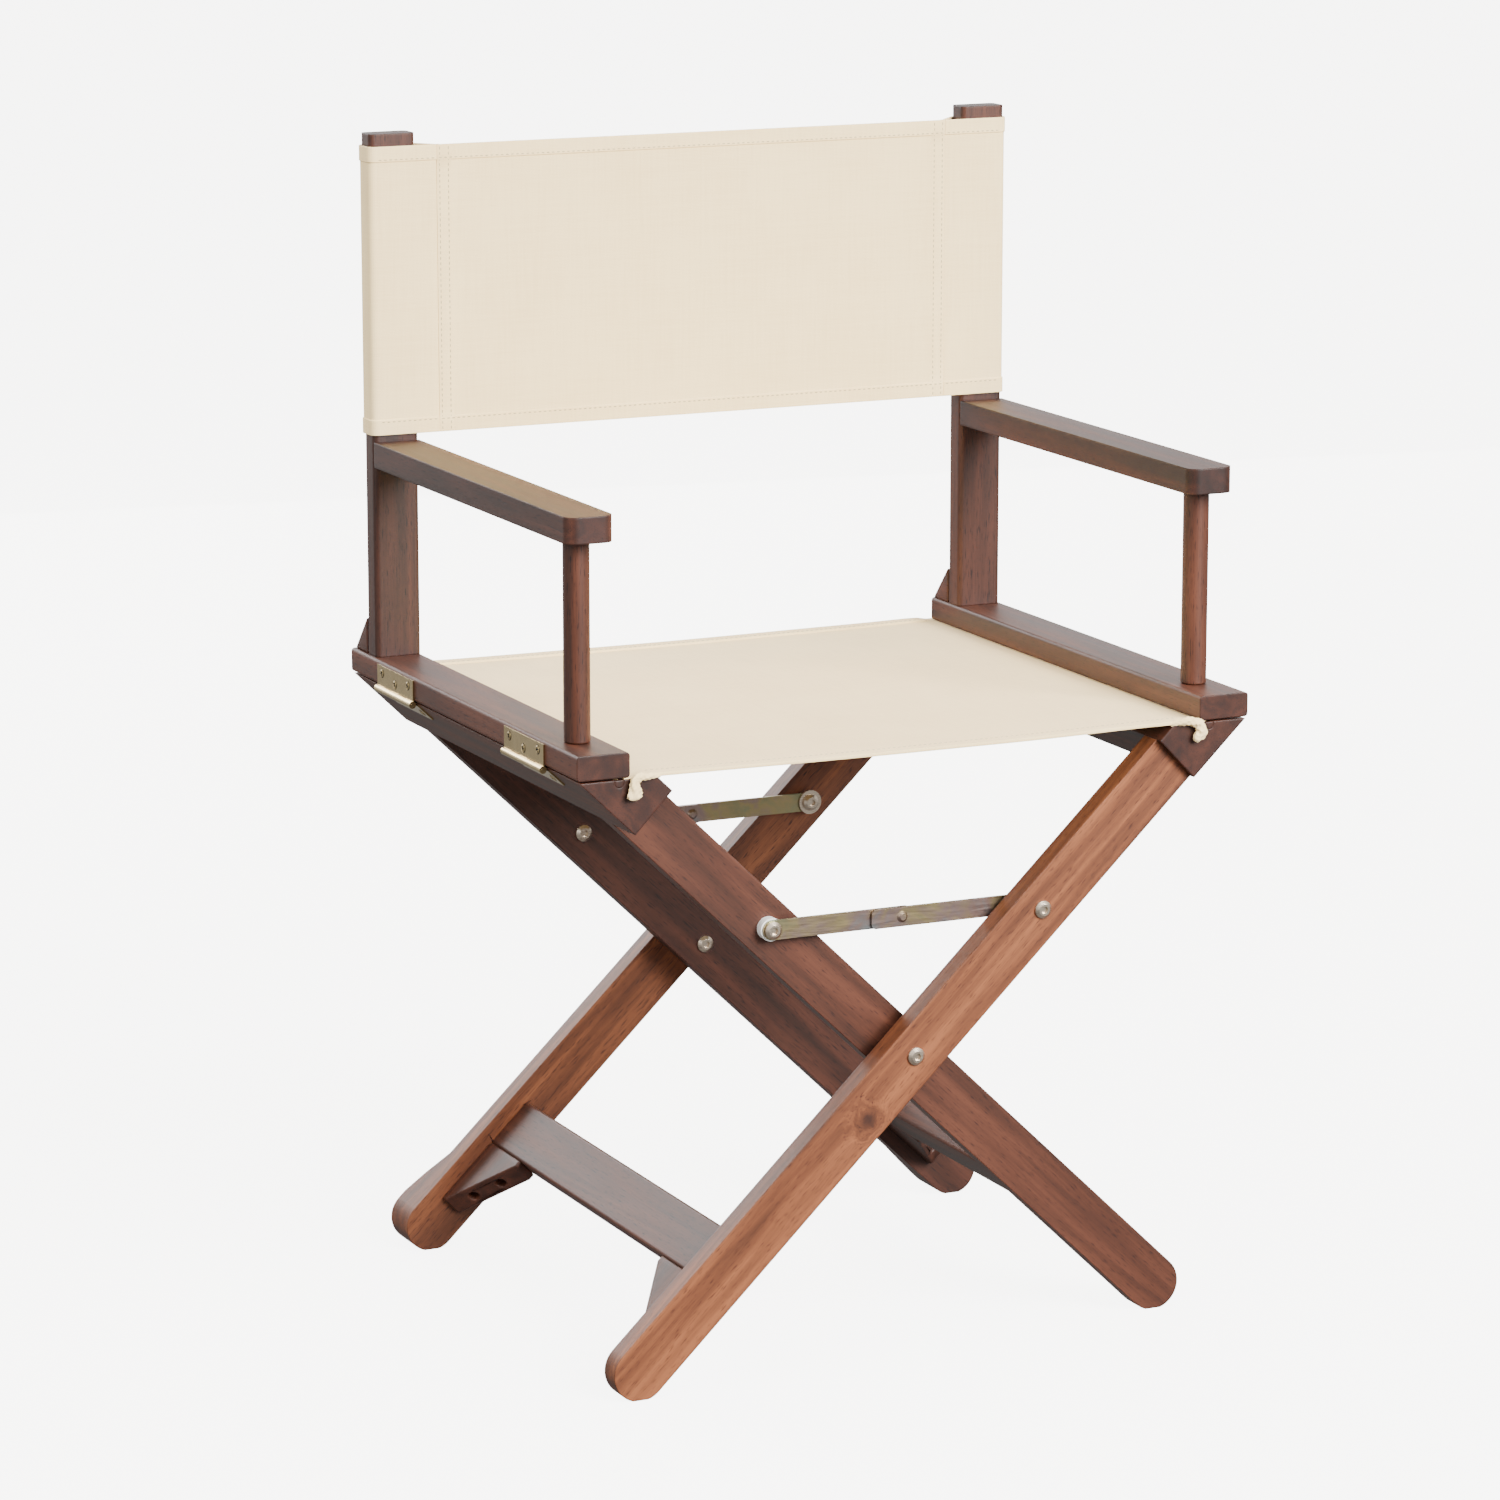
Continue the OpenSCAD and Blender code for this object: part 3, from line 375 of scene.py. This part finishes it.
# Each board is cut from its own plank: how its grain runs, how dark the stain took, and where on the plank it was.
boards = {
    "right_front_leg": ("rightLeg", "warm", (0.10, 0.31, 0.07)),
    "right_rear_leg": ("rightLeg", "warm", (1.30, 0.52, 0.21)),
    "left_front_leg": ("leftLeg", "mid", (2.20, 0.15, 0.44)),
    "left_rear_leg": ("leftLeg", "deep", (3.70, 0.77, 0.12)),
    "right_beam": ("along", "mid", (0.40, 1.20, 0.33)),
    "left_beam": ("along", "mid", (1.70, 1.55, 0.61)),
    "right_foot_rail": ("along", "mid", (2.90, 1.91, 0.18)),
    "left_foot_rail": ("along", "mid", (4.10, 2.13, 0.72)),
    "right_corner_blocks": ("rightLeg", "mid", (0.80, 2.45, 0.36)),
    "left_corner_blocks": ("leftLeg", "deep", (1.10, 2.71, 0.53)),
    "right_leg_dowels": ("rightLeg", "mid", (0.20, 2.95, 0.14)),
    "left_leg_dowels": ("leftLeg", "mid", (0.50, 3.12, 0.27)),
    "right_seat_rail": ("along", "mid", (5.20, 3.35, 0.42)),
    "left_seat_rail": ("along", "mid", (6.40, 3.61, 0.05)),
    "right_post": ("upright", "deep", (7.10, 3.88, 0.63)),
    "left_post": ("upright", "deep", (8.30, 4.06, 0.31)),
    "right_wedge": ("along", "mid", (0.90, 4.29, 0.48)),
    "left_wedge": ("along", "mid", (1.60, 4.48, 0.16)),
    "right_armrest": ("along", "deep", (2.50, 4.71, 0.57)),
    "left_armrest": ("along", "deep", (3.40, 4.93, 0.24)),
    "right_spindle": ("upright", "mid", (4.60, 5.15, 0.39)),
    "left_spindle": ("upright", "mid", (5.50, 5.37, 0.66)),
}
knots = {"right_front_leg": {"place": (-0.0384, -0.211, 0.1851), "reach": 0.024, "size": 0.0105}}
hardware = {
    "right_block_screws": brightZinc, "left_block_screws": brightZinc,
    "right_upper_leaves": brassPlate, "left_upper_leaves": brassPlate,
    "right_lower_leaves": brassPlate, "left_lower_leaves": brassPlate,
    "right_hinge_pins": brassPlate, "left_hinge_pins": brassPlate,
    "right_upper_screws": brassPlate, "left_upper_screws": brassPlate,
    "right_lower_screws": brassPlate, "left_lower_screws": brassPlate,
    "pivot_bolts": brightZinc, "pivot_nuts": brightZinc, "pivot_spacers": brightZinc,
    "front_left_link": yellowZinc, "front_right_link": yellowZinc,
    "rear_left_link": yellowZinc, "rear_right_link": yellowZinc,
    "front_left_rivet": yellowZinc, "front_right_rivet": yellowZinc,
    "rear_left_rivet": yellowZinc, "rear_right_rivet": yellowZinc,
    "right_brace_bolts": brightZinc, "left_brace_bolts": brightZinc,
    "right_brace_nuts": brightZinc, "left_brace_nuts": brightZinc,
    "front_nylon_washer": nylon, "rear_steel_washer": brightZinc,
    "brace_spacers_right": brightZinc, "brace_spacer_left": brightZinc,
}


def paint(piece, material):
    piece.data.materials.clear()
    piece.data.materials.append(material)


def roundEdges(piece, width):
    weld = piece.modifiers.new("weld", "WELD")
    weld.merge_threshold = 0.00001
    bevel = piece.modifiers.new("rounding", "BEVEL")
    bevel.width = width / 1000
    bevel.segments = 2
    bevel.limit_method = "ANGLE"
    bevel.angle_limit = math.radians(40)
    bevel.use_clamp_overlap = False
    even = piece.modifiers.new("even", "WEIGHTED_NORMAL")
    even.keep_sharp = False


fineCutBoards = ("seat_rail", "armrest", "_leg", "beam", "_post")  # their meshes are too finely cut to round

for board, (grain, tone, shift) in boards.items():
    fineCut = any(part in board for part in fineCutBoards) and "dowels" not in board
    paint(nodes[board], stainedAcacia("stainedAcacia_" + board, grain, tone, shift, knots.get(board), fineCut))
    if not fineCut:
        roundEdges(nodes[board], edgeRound["wood"])
for part, metal in hardware.items():
    paint(nodes[part], metal)
print("boards and hardware finished")


def pickOnly(pieces):
    bpy.ops.object.select_all(action="DESELECT")
    for piece in pieces:
        piece.select_set(True)
    bpy.context.view_layer.objects.active = pieces[0]


def pickParts(kind, wanted, mode="VERT"):
    # leaves the active mesh in edit mode, with only its wanted polygons, edges or vertices selected
    bpy.ops.object.mode_set(mode="EDIT")
    bpy.ops.mesh.select_mode(type=mode)
    bpy.ops.mesh.select_all(action="DESELECT")
    bpy.ops.object.mode_set(mode="OBJECT")
    for part in getattr(bpy.context.object.data, kind):
        part.select = wanted(part)
    bpy.ops.object.mode_set(mode="EDIT")


def placedCopy(master, place):
    one = master.copy()
    one.data = master.data.copy()
    one.data.transform(place)
    scene.collection.objects.link(one)
    return one


def joined(name, copies):
    pickOnly(copies)
    bpy.ops.object.join()
    piece = bpy.context.object
    piece.name = name
    piece.select_set(False)
    return piece


def finishPiece(piece):
    pickOnly([piece])
    for modifier in list(piece.modifiers):
        bpy.ops.object.modifier_apply(modifier=modifier.name)
    bpy.ops.object.shade_smooth_by_angle(angle=math.radians(35))
    piece.select_set(False)


# countersunk screws in the hinge leaves, each with a cross recess and a thin ring round the head that carries a
# painted shadow, in mm
screwHead = {"wide": 6.1, "ring": 7.2, "base": 0.08, "rim": 0.25, "dome": 0.35,
             "slotLong": 4.1, "slotWide": 1.1, "slotTall": 0.7, "slotMiddle": 0.42}
hinge = {"leafFace": 268.2, "row": 124.0, "pitch": 26.0, "middleUp": 464.5, "endUp": 468.5,
         "lowerMiddle": (259.712, 449.738), "lowerEnd": (256.832, 446.962), "lift": 0.03}


# Dark grey steel in the recess and round the head: painted shade in the cross recess and a painted shadow ring
# round the head, it draws the cross and the ring.
def paintedShadeSteel():
    material, tree, surface = newMaterial("paintedShadeRecessSteel")
    addNode(tree, surface, {"Base Color": toLinear("#2b241c"), "Metallic": 1.0, "Roughness": 0.6})
    return material


recessShadeSteel = paintedShadeSteel()


def makeScrewHead():
    wide = screwHead["wide"]
    bpy.ops.mesh.primitive_cylinder_add(vertices=20, radius=screwHead["ring"] / 2000,
                                        depth=screwHead["base"] / 1000)
    head = bpy.context.object
    pickParts("polygons", lambda face: face.normal.z > 0.9)
    bpy.ops.mesh.inset(thickness=(screwHead["ring"] - wide) / 2000)
    bpy.ops.mesh.extrude_region_move(TRANSFORM_OT_translate={"value": (0, 0, screwHead["rim"] / 1000)})
    bpy.ops.object.mode_set(mode="OBJECT")
    bpy.ops.object.mode_set(mode="EDIT")
    for rise in (1800, 3000):  # slightly raised middle, in two steps
        bpy.ops.mesh.inset(thickness=wide / 9000, depth=screwHead["dome"] / rise)
    bpy.ops.object.mode_set(mode="OBJECT")
    bars = []
    for turn in (0, math.pi / 2):
        place = (0, 0, screwHead["slotMiddle"] / 1000)
        bpy.ops.mesh.primitive_cube_add(size=1, location=place, rotation=(0, 0, turn))
        bar = bpy.context.object
        bar.scale = [screwHead[size] / 1000 for size in ("slotLong", "slotWide", "slotTall")]
        bpy.ops.object.transform_apply(location=True, rotation=True, scale=True)
        bars.append(bar)
    for bar in bars:
        cut = head.modifiers.new("recess", "BOOLEAN")
        cut.operation = "DIFFERENCE"
        cut.solver = "EXACT"
        cut.object = bar
    bpy.context.view_layer.objects.active = head
    for cut in list(head.modifiers):
        bpy.ops.object.modifier_apply(modifier=cut.name)
    for bar in bars:
        bpy.data.objects.remove(bar)
    paint(head, brassPlate)
    # a second, dark material paints shade into the cross recess and a shadow ring round the head
    head.data.materials.append(recessShadeSteel)
    for face in head.data.polygons:
        out, high = math.hypot(face.center.x, face.center.y) * 1000, face.center.z * 1000
        inCross = out < screwHead["slotLong"] / 1.9 and (high < 0.2 or abs(face.normal.z) < 0.3)
        inShadowRing = out > wide / 2.05 and high < 0.1
        face.material_index = 1 if inCross or inShadowRing else 0
    return head


headMaster = makeScrewHead()
slant = Vector((math.sin(legAngle), 0, -math.cos(legAngle)))
for label, side in (("right", 1), ("left", -1)):
    for rowName, rides in (("Upper", "_arm"), ("Lower", "_frame")):
        copies = []
        for row in (-1, 1):
            for k in (-1, 0, 1):
                if rowName == "Upper":
                    x, z, out = hinge["leafFace"], hinge["endUp"] if k else hinge["middleUp"], Vector((1, 0, 0))
                else:
                    (x, z), out = hinge["lowerEnd"] if k else hinge["lowerMiddle"], slant
                out = Vector((side * out.x, 0, out.z))
                place = Vector((side * x, row * hinge["row"] + k * hinge["pitch"], z)) / 1000
                place += out * (hinge["lift"] / 1000)
                aim = out.to_track_quat("Z", "Y").to_matrix().to_4x4()
                # no two screws of one side's leaves stop at the same turn
                spin = Matrix.Rotation(math.radians(23 + 67 * k + 31 * row), 4, "Z")
                copies.append(placedCopy(headMaster, Matrix.Translation(place) @ aim @ spin))
        heads = joined(label + rowName + "ScrewHeads", copies)
        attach(heads, label + rides)
bpy.data.objects.remove(headMaster)
print("hinge screws made")


# cloth sizes in mm
cloth = {"thick": 1.1, "foldedEdge": 0.4, "hemThick": 1.9, "hemDeep": 11.5, "seamThick": 1.5}
seat = {"halfWide": 231.4, "halfFree": 205.0, "front": -216.8, "back": 223.4, "level": 457.8, "sag": 1.8,
        "hemDeep": 12.5, "hemThick": 2.7, "ripple": 0.35}
back = {"seam": 211.7, "low": 645.2, "high": 860.8, "plane": 170.7, "ripple": 0.35,
        "stitchLines": (209.4, 202.4)}
post = {"inner": 228.0, "outer": 264.0, "front": 171.0, "rear": 191.0, "corner": 4.0, "gap": 0.3, "flap": 3.0}
stitch = {"long": 2.6, "pitch": 4.1, "wide": 0.75, "high": 0.5}


def spread(low, high, count):
    return [low + (high - low) * i / count for i in range(count + 1)]


def newPiece(name, points, faces, flat):
    # points and their places on the flat cloth, in mm
    mesh = bpy.data.meshes.new(name)
    mesh.from_pydata([tuple(c / 1000 for c in point) for point in points], [], faces)
    layer = mesh.uv_layers.new(name="flat")
    for loop in mesh.loops:
        layer.data[loop.index].uv = [c / 1000 for c in flat[loop.vertex_index]]
    piece = bpy.data.objects.new(name, mesh)
    scene.collection.objects.link(piece)
    return piece


def clothSheet(name, us, vs, shape, thickness):
    # us and vs are flat places in mm, shape gives the point there, thickness how thick the cloth is there
    flat = [(u, v) for v in vs for u in us]
    wide = len(us)
    starts = [j * wide + i for j in range(len(vs) - 1) for i in range(wide - 1)]
    faces = [(k, k + 1, k + wide + 1, k + wide) for k in starts]
    piece = newPiece(name, [shape(u, v) for u, v in flat], faces, flat)
    thickest = max(thickness(u, v) for u, v in flat)
    group = piece.vertex_groups.new(name="thickness")
    for i, (u, v) in enumerate(flat):
        group.add([i], thickness(u, v) / thickest, "REPLACE")
    solid = piece.modifiers.new("thickness", "SOLIDIFY")
    solid.thickness = thickest / 1000
    solid.offset = 1.0
    solid.vertex_group = "thickness"
    solid.use_rim = True
    soften = piece.modifiers.new("foldedEdge", "BEVEL")
    soften.width = cloth["foldedEdge"] / 1000
    soften.segments = 2
    soften.limit_method = "ANGLE"
    soften.angle_limit = math.radians(60)
    finishPiece(piece)
    paint(piece, canvas)
    return piece


def hemmedRows(low, high, hem, step, count):
    # rows close together at the hems, where the cloth turns and its thickness steps down
    near = [0, 1, 6, hem - step, hem + step]
    return [low + d for d in near] + spread(low + 20, high - 20, count) + [high - d for d in reversed(near)]


def smoothStep(low, high, x):
    t = min(1, max(0, (x - low) / (high - low)))
    return t * t * (3 - 2 * t)


def ripple(u, v, seed, size=90):
    return noise.noise(Vector((u / size, v / size, seed)))


def seatPoint(x, y):
    # the cloth lies on the beams past halfFree and sags a little between them, its under face is given
    free = 1 - min(1, abs(x) / seat["halfFree"]) ** 2
    wave = seat["ripple"] * ripple(x, y, 3.1) * smoothStep(0, 0.25, free)
    nearHem = max(smoothStep(seat["front"] + 30, seat["front"], y), smoothStep(seat["back"] - 30, seat["back"], y))
    return (x, y, seat["level"] - cloth["thick"] - seat["sag"] * free * (1 - 0.25 * nearHem) + wave)


def seatThickness(x, y):
    inHem = y < seat["front"] + seat["hemDeep"] or y > seat["back"] - seat["hemDeep"]
    room = 1 - smoothStep(seat["halfFree"] + 10, seat["halfFree"] + 20, abs(x))  # pressed thin under the rails
    return cloth["thick"] + (seat["hemThick"] - cloth["thick"]) * room if inHem else cloth["thick"]


hemDeep = seat["hemDeep"]
seatAcross = spread(-seat["halfWide"], seat["halfWide"], 66)
seatAlong = hemmedRows(seat["front"], seat["back"], hemDeep, 0.5, 50)
seatPiece = clothSheet("seatCanvas", seatAcross, seatAlong, seatPoint, seatThickness)
print("seat cloth made")


def panelPoint(x, z):
    # the back face of the panel, it grows forward
    edge = min(1, (back["seam"] - abs(x)) / 60)
    wave = back["ripple"] * (0.5 + ripple(x, z, 7.7)) * edge
    return (x, back["plane"] - wave, z)  # waves only forward, clear of the seam flaps


seamEdge = back["stitchLines"][1] - 2.4  # the doubled cloth at the seam reaches just past its inner stitches


def backThickness(x, z):
    if z < back["low"] + cloth["hemDeep"] or z > back["high"] - cloth["hemDeep"]:
        return cloth["hemThick"]
    if seamEdge < abs(x) < back["seam"] + 0.5:
        return cloth["seamThick"]
    return cloth["thick"]


deep = cloth["hemDeep"]
backRows = hemmedRows(back["low"], back["high"], deep, 0.4, 24)
seamColumns = [seamEdge - 0.4, seamEdge + 0.4, back["seam"]]
panelColumns = [-x for x in reversed(seamColumns)] + spread(-190, 190, 44) + seamColumns
panelPiece = clothSheet("backCanvas", panelColumns, backRows, panelPoint, backThickness)


def sleeveLine():
    # the sleeve's inner face seen from above, from its seam round the post and back, on the right side
    gap, r = post["gap"], post["corner"] + post["gap"]
    left, right = post["inner"] - gap, post["outer"] + gap
    front, rear = post["front"] - gap, post["rear"] + gap
    line = [(x, front) for x in spread(back["seam"], right - r, 7)]

    def corner(cx, cy, start, end, steps=5):
        turns = [math.radians(a) for a in spread(start, end, steps)]
        return [(cx + r * math.cos(a), cy + r * math.sin(a)) for a in turns]

    line += corner(right - r, front + r, -90, 0)[1:]
    line += [(right, y) for y in spread(front + r, rear - r, 2)[1:-1]]
    line += corner(right - r, rear - r, 0, 90)
    line += [(x, rear) for x in spread(right - r, left + r, 4)[1:-1]]
    line += corner(left + r, rear - r, 90, 139, 4)
    end = (back["seam"], front + 0.25)
    last = line[-1]
    for k in range(1, 6):
        bulge = 0.7 * math.sin(math.pi * k / 5)
        line.append((last[0] + (end[0] - last[0]) * k / 5, last[1] + (end[1] - last[1]) * k / 5 + bulge))
    line.append((back["seam"] - post["flap"], front + 0.25))  # seam allowance behind the panel
    return line


def lengths(line):
    total = [0.0]
    for a, b in zip(line, line[1:]):
        total.append(total[-1] + math.dist(a, b))
    return total


def makeSleeve(name, side):
    line = sleeveLine()
    along = [side * d for d in lengths(line)]  # the left one is laid out backwards, so its outside faces out
    at = {round(d, 4): p for d, p in zip(along, line)}

    def point(u, z):
        x, y = at[round(u, 4)]
        return (side * x, y, z)

    def thickness(u, z):
        return cloth["hemThick"] if z < back["low"] + deep or z > back["high"] - deep else cloth["thick"]

    sleeve = clothSheet(name, sorted(along), backRows, point, thickness)
    return sleeve, abs(along[-1])


rightSleeve, sleeveRound = makeSleeve("rightSleeve", 1)
leftSleeve, sleeveRound = makeSleeve("leftSleeve", -1)
print("back cloth made")


# one stitch is modelled and copied along every seam
def makeStitch():
    bpy.ops.mesh.primitive_uv_sphere_add(segments=8, ring_count=5, radius=0.5, rotation=(0, math.pi / 2, 0))
    piece = bpy.context.object
    bpy.ops.object.transform_apply(rotation=True)
    piece.scale = (stitch["long"] / 1000, stitch["wide"] / 1000, stitch["high"] / 1000)
    bpy.ops.object.transform_apply(scale=True)
    # both ends dive into the cloth
    pickParts("vertices", lambda vertex: abs(vertex.co.x) > stitch["long"] / 2300)
    bpy.ops.transform.translate(value=(0, 0, -stitch["high"] / 2600))
    bpy.ops.object.mode_set(mode="OBJECT")
    bpy.ops.object.shade_smooth()
    paint(piece, thread)
    return piece


stitchMaster = makeStitch()


def sewLine(name, path, normals):
    # path and normals are lists of points in mm along the seam
    steps = lengths(path)
    count = int(steps[-1] // stitch["pitch"])
    copies, k = [], 0
    for n in range(count):
        middle = (n + 0.5) * steps[-1] / count
        while steps[k + 1] < middle:
            k += 1
        share = (middle - steps[k]) / (steps[k + 1] - steps[k])
        here = Vector(path[k]).lerp(Vector(path[k + 1]), share) / 1000
        run = (Vector(path[k + 1]) - Vector(path[k])).normalized()
        up = Vector(normals[k]).lerp(Vector(normals[k + 1]), share).normalized()
        side = up.cross(run).normalized()
        turn = Matrix((run, side, run.cross(side))).transposed().to_4x4()
        copies.append(placedCopy(stitchMaster, Matrix.Translation(here) @ turn))
    return joined(name, copies)


lift = 0.02  # mm, stitches lie just on the cloth


def seatTop(x, y):
    px, py, pz = seatPoint(x, y)
    return (px, py, pz + seatThickness(x, y) + lift)


seatRows = []
for label, y in (("seatFrontStitches", seat["front"] + hemDeep - 2.0),
                 ("seatBackStitches", seat["back"] - hemDeep + 2.0)):
    path = [seatTop(x, y) for x in spread(-212, 212, 80)]
    seatRows.append(sewLine(label, path, [(0, 0, 1)] * len(path)))


def panelFront(x, z):
    px, py, pz = panelPoint(x, z)
    return (px, py - backThickness(x, z) - lift, pz)


panelRows = []
for label, z in (("backTopStitches", back["high"] - deep + 1.6), ("backLowStitches", back["low"] + deep - 1.6)):
    path = [panelFront(x, z) for x in spread(-back["seam"] + 0.8, back["seam"] - 0.8, 60)]
    panelRows.append(sewLine(label, path, [(0, -1, 0)] * len(path)))
for side in (-1, 1):
    for number, x in enumerate(back["stitchLines"]):
        path = [panelFront(side * x, z) for z in spread(back["low"] + 0.8, back["high"] - 0.8, 40)]
        name = ("right" if side > 0 else "left") + "SeamStitches" + str(number + 1)
        panelRows.append(sewLine(name, path, [(0, -1, 0)] * len(path)))


def sleeveRowsOf(side, label):
    # along the flat front and rear of the sleeve, the machine doesn't sew round the corners
    push, corner = cloth["hemThick"] + lift, post["corner"] + 1
    runs = {"Front": (post["front"] - post["gap"] - push, -1, back["seam"] + 1),
            "Rear": (post["rear"] + post["gap"] + push, 1, post["inner"] + corner)}
    rows = []
    for z, where in ((back["high"] - deep + 1.6, "Top"), (back["low"] + deep - 1.6, "Low")):
        for face, (y, out, start) in runs.items():
            path = [(side * x, y, z) for x in spread(start, post["outer"] - corner, 12)]
            rows.append(sewLine(label + where + face + "Stitches", path, [(0, out, 0)] * len(path)))
    return rows


rightSleeveRows = sleeveRowsOf(1, "rightSleeve")
leftSleeveRows = sleeveRowsOf(-1, "leftSleeve")
bpy.data.objects.remove(stitchMaster)
print("stitches sewn")


# covered cords in the seat's edges
cordLook = {"x": 235.0, "z": 454.5, "radius": 3.05, "front": -211.0, "rear": 217.0}
# the covered ends that hang out at the front: middle line, half width and half depth, in mm
tails = {
    "left": [((-203.5, -215.5, 457.0), 1.4, 1.4), ((-209, -217.2, 457.6), 2.0, 1.8),
             ((-215, -219.0, 458.0), 2.4, 2.2), ((-220.5, -220.2, 458.3), 2.9, 2.5),
             ((-224.0, -220.6, 456.6), 3.2, 2.6), ((-224.5, -220.7, 453.4), 3.5, 2.6),
             ((-224.7, -220.7, 449.6), 4.5, 2.7), ((-224.8, -220.7, 446.2), 5.3, 2.7),
             ((-224.6, -220.6, 443.8), 5.0, 2.4), ((-224.4, -220.5, 442.3), 2.8, 1.3)],
    "right": [((203.5, -215.5, 457.2), 1.5, 1.5), ((209, -217.6, 458.4), 2.4, 2.0),
              ((214.6, -219.6, 459.1), 2.9, 2.5), ((220.0, -220.6, 458.6), 3.3, 2.8),
              ((224.2, -221.0, 456.2), 3.7, 3.0), ((226.2, -221.2, 452.8), 4.0, 3.1),
              ((225.6, -221.2, 449.4), 4.1, 3.1), ((223.2, -221.1, 447.0), 3.7, 2.9),
              ((221.0, -221.0, 446.0), 2.9, 2.2), ((220.0, -221.0, 445.6), 1.4, 1.1)],
}


def curvePoints(stations, steps):
    # smooth run through the given points and sizes
    values = [list(p) + [w, d] for p, w, d in stations]
    out = []
    for k in range(len(values) - 1):
        a, b, c, d = values[max(0, k - 1)], values[k], values[k + 1], values[min(len(values) - 1, k + 2)]
        for s in range(steps):
            t = s / steps
            out.append([0.5 * (2 * q + (r - p) * t + (2 * p - 5 * q + 4 * r - w) * t * t + (3 * q - p - 3 * r + w) * t ** 3)
                        for p, q, r, w in zip(a, b, c, d)])
    out.append(values[-1])
    return out


def softTube(name, stations, sides, pucker=0.0):
    # stations are x, y, z, half width across the view and half depth, in mm
    points, faces, flat = [], [], []
    run = 0.0
    for k, (x, y, z, wide, thick) in enumerate(stations):
        before, after = stations[max(0, k - 1)], stations[min(len(stations) - 1, k + 1)]
        along = (Vector(after[:3]) - Vector(before[:3])).normalized()
        forward = Vector((0, -1, 0)) if abs(along.y) < 0.8 else Vector((0, 0, 1))
        across = along.cross(forward).normalized()
        up = across.cross(along).normalized()
        if k:
            run += math.dist(stations[k][:3], stations[k - 1][:3])
        for i in range(sides):
            a = 2 * math.pi * i / sides
            folds = math.sin(3 * a + run * 0.35) * math.sin(run * 1.1 + 2 * a) + 0.6 * math.sin(5 * a - run * 0.6)
            reach = 1 + pucker * folds
            offset = across * (math.cos(a) * wide * reach) + up * (math.sin(a) * thick * reach)
            points.append(tuple(Vector((x, y, z)) + offset))
            flat.append((run, i / sides * math.pi * (wide + thick)))
    rings = len(stations)
    for k in range(rings - 1):
        for i in range(sides):
            j = (i + 1) % sides
            faces.append((k * sides + i, k * sides + j, (k + 1) * sides + j, (k + 1) * sides + i))
    faces.append(tuple(range(sides)))
    faces.append(tuple((rings - 1) * sides + i for i in reversed(range(sides))))
    piece = newPiece(name, points, faces, flat)
    pickOnly([piece])
    bpy.ops.object.mode_set(mode="EDIT")
    bpy.ops.mesh.select_all(action="SELECT")
    bpy.ops.mesh.normals_make_consistent(inside=False)
    bpy.ops.object.mode_set(mode="OBJECT")
    finishPiece(piece)
    paint(piece, canvas)
    return piece


# a stained plug stops each groove behind the beam's front face, so the cord's end doesn't show
grooveStop = {"wide": 6.9, "low": 451.05, "high": 456.4, "front": -216.9, "long": 4.0}


def makeGrooveStop(label, side):
    tall = grooveStop["high"] - grooveStop["low"]
    place = (side * cordLook["x"], grooveStop["front"] + grooveStop["long"] / 2, grooveStop["low"] + tall / 2)
    bpy.ops.mesh.primitive_cube_add(size=1, location=[c / 1000 for c in place])
    plug = bpy.context.object
    plug.name = label + "GrooveStop"
    plug.scale = (grooveStop["wide"] / 1000, grooveStop["long"] / 1000, tall / 1000)
    bpy.ops.object.transform_apply(location=True, scale=True)

    def lowAndLong(edge):
        a, b = (plug.data.vertices[v].co for v in edge.vertices)
        return abs(a.y - b.y) > 0.001 and a.z < place[2] / 1000

    pickParts("edges", lowAndLong, "EDGE")
    bpy.ops.mesh.bevel(offset=0.49 * grooveStop["wide"] / 1000, segments=7)
    bpy.ops.mesh.select_mode(type="VERT")
    bpy.ops.object.mode_set(mode="OBJECT")
    finishPiece(plug)
    paint(plug, nodes[label + "_beam"].data.materials[0])
    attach(plug, label + "_frame")


for label, side in (("right", 1), ("left", -1)):
    makeGrooveStop(label, side)


def cordStations(side):
    # thinner at both ends, so that they are rounded
    tips = [(0, 0.5), (0.8, 0.85), (2.4, 1.0)]
    rear = [(cordLook["rear"] - d, share) for d, share in tips]
    middle = [(y, 1) for y in spread(cordLook["rear"] - 20, cordLook["front"] + 20, 12)]
    front = [(cordLook["front"] + d, share) for d, share in reversed(tips)]
    r = cordLook["radius"]
    return [(side * cordLook["x"], y, cordLook["z"], r * share, r * share) for y, share in rear + middle + front]


for label, side in (("right", 1), ("left", -1)):
    hidden = softTube(label + "Cord", cordStations(side), sides=12)
    tail = softTube(label + "CordTail", curvePoints(tails[label], 7), sides=28, pucker=0.16)
    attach(hidden, label + "_frame")
    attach(tail, label + "_frame")
    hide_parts(label + "_edge_cord")
print("cords made")


# what each soft piece moves with
for piece in [seatPiece] + seatRows:
    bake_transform(piece)
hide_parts("seat_cloth")

for piece in [panelPiece] + panelRows:
    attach(piece, "right_arm")
    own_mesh(piece)
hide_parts("back_panel")

for label, sleeve, rows in (("right", rightSleeve, rightSleeveRows), ("left", leftSleeve, leftSleeveRows)):
    for piece in [sleeve] + rows:
        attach(piece, label + "_arm")
    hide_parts(label + "_sleeve")
print("soft pieces attached")


# pale paper floor
bpy.ops.mesh.primitive_plane_add(size=160, location=(0, 0, 0))
floor = bpy.context.object
floor.name = "studioFloor"
paper, paperTree, paperSurface = newMaterial("paleStudioPaper")
addNode(paperTree, paperSurface, {"Base Color": toLinear("#a5a4a2"), "Roughness": 0.95,
                                  "Emission Color": toLinear("#f6f5f3"), "Emission Strength": studio["floorGlow"]})
paint(floor, paper)
floor.visible_diffuse = False  # its glow is only seen, it doesn't light the chair from below
floor.visible_glossy = False

print("scene ready")
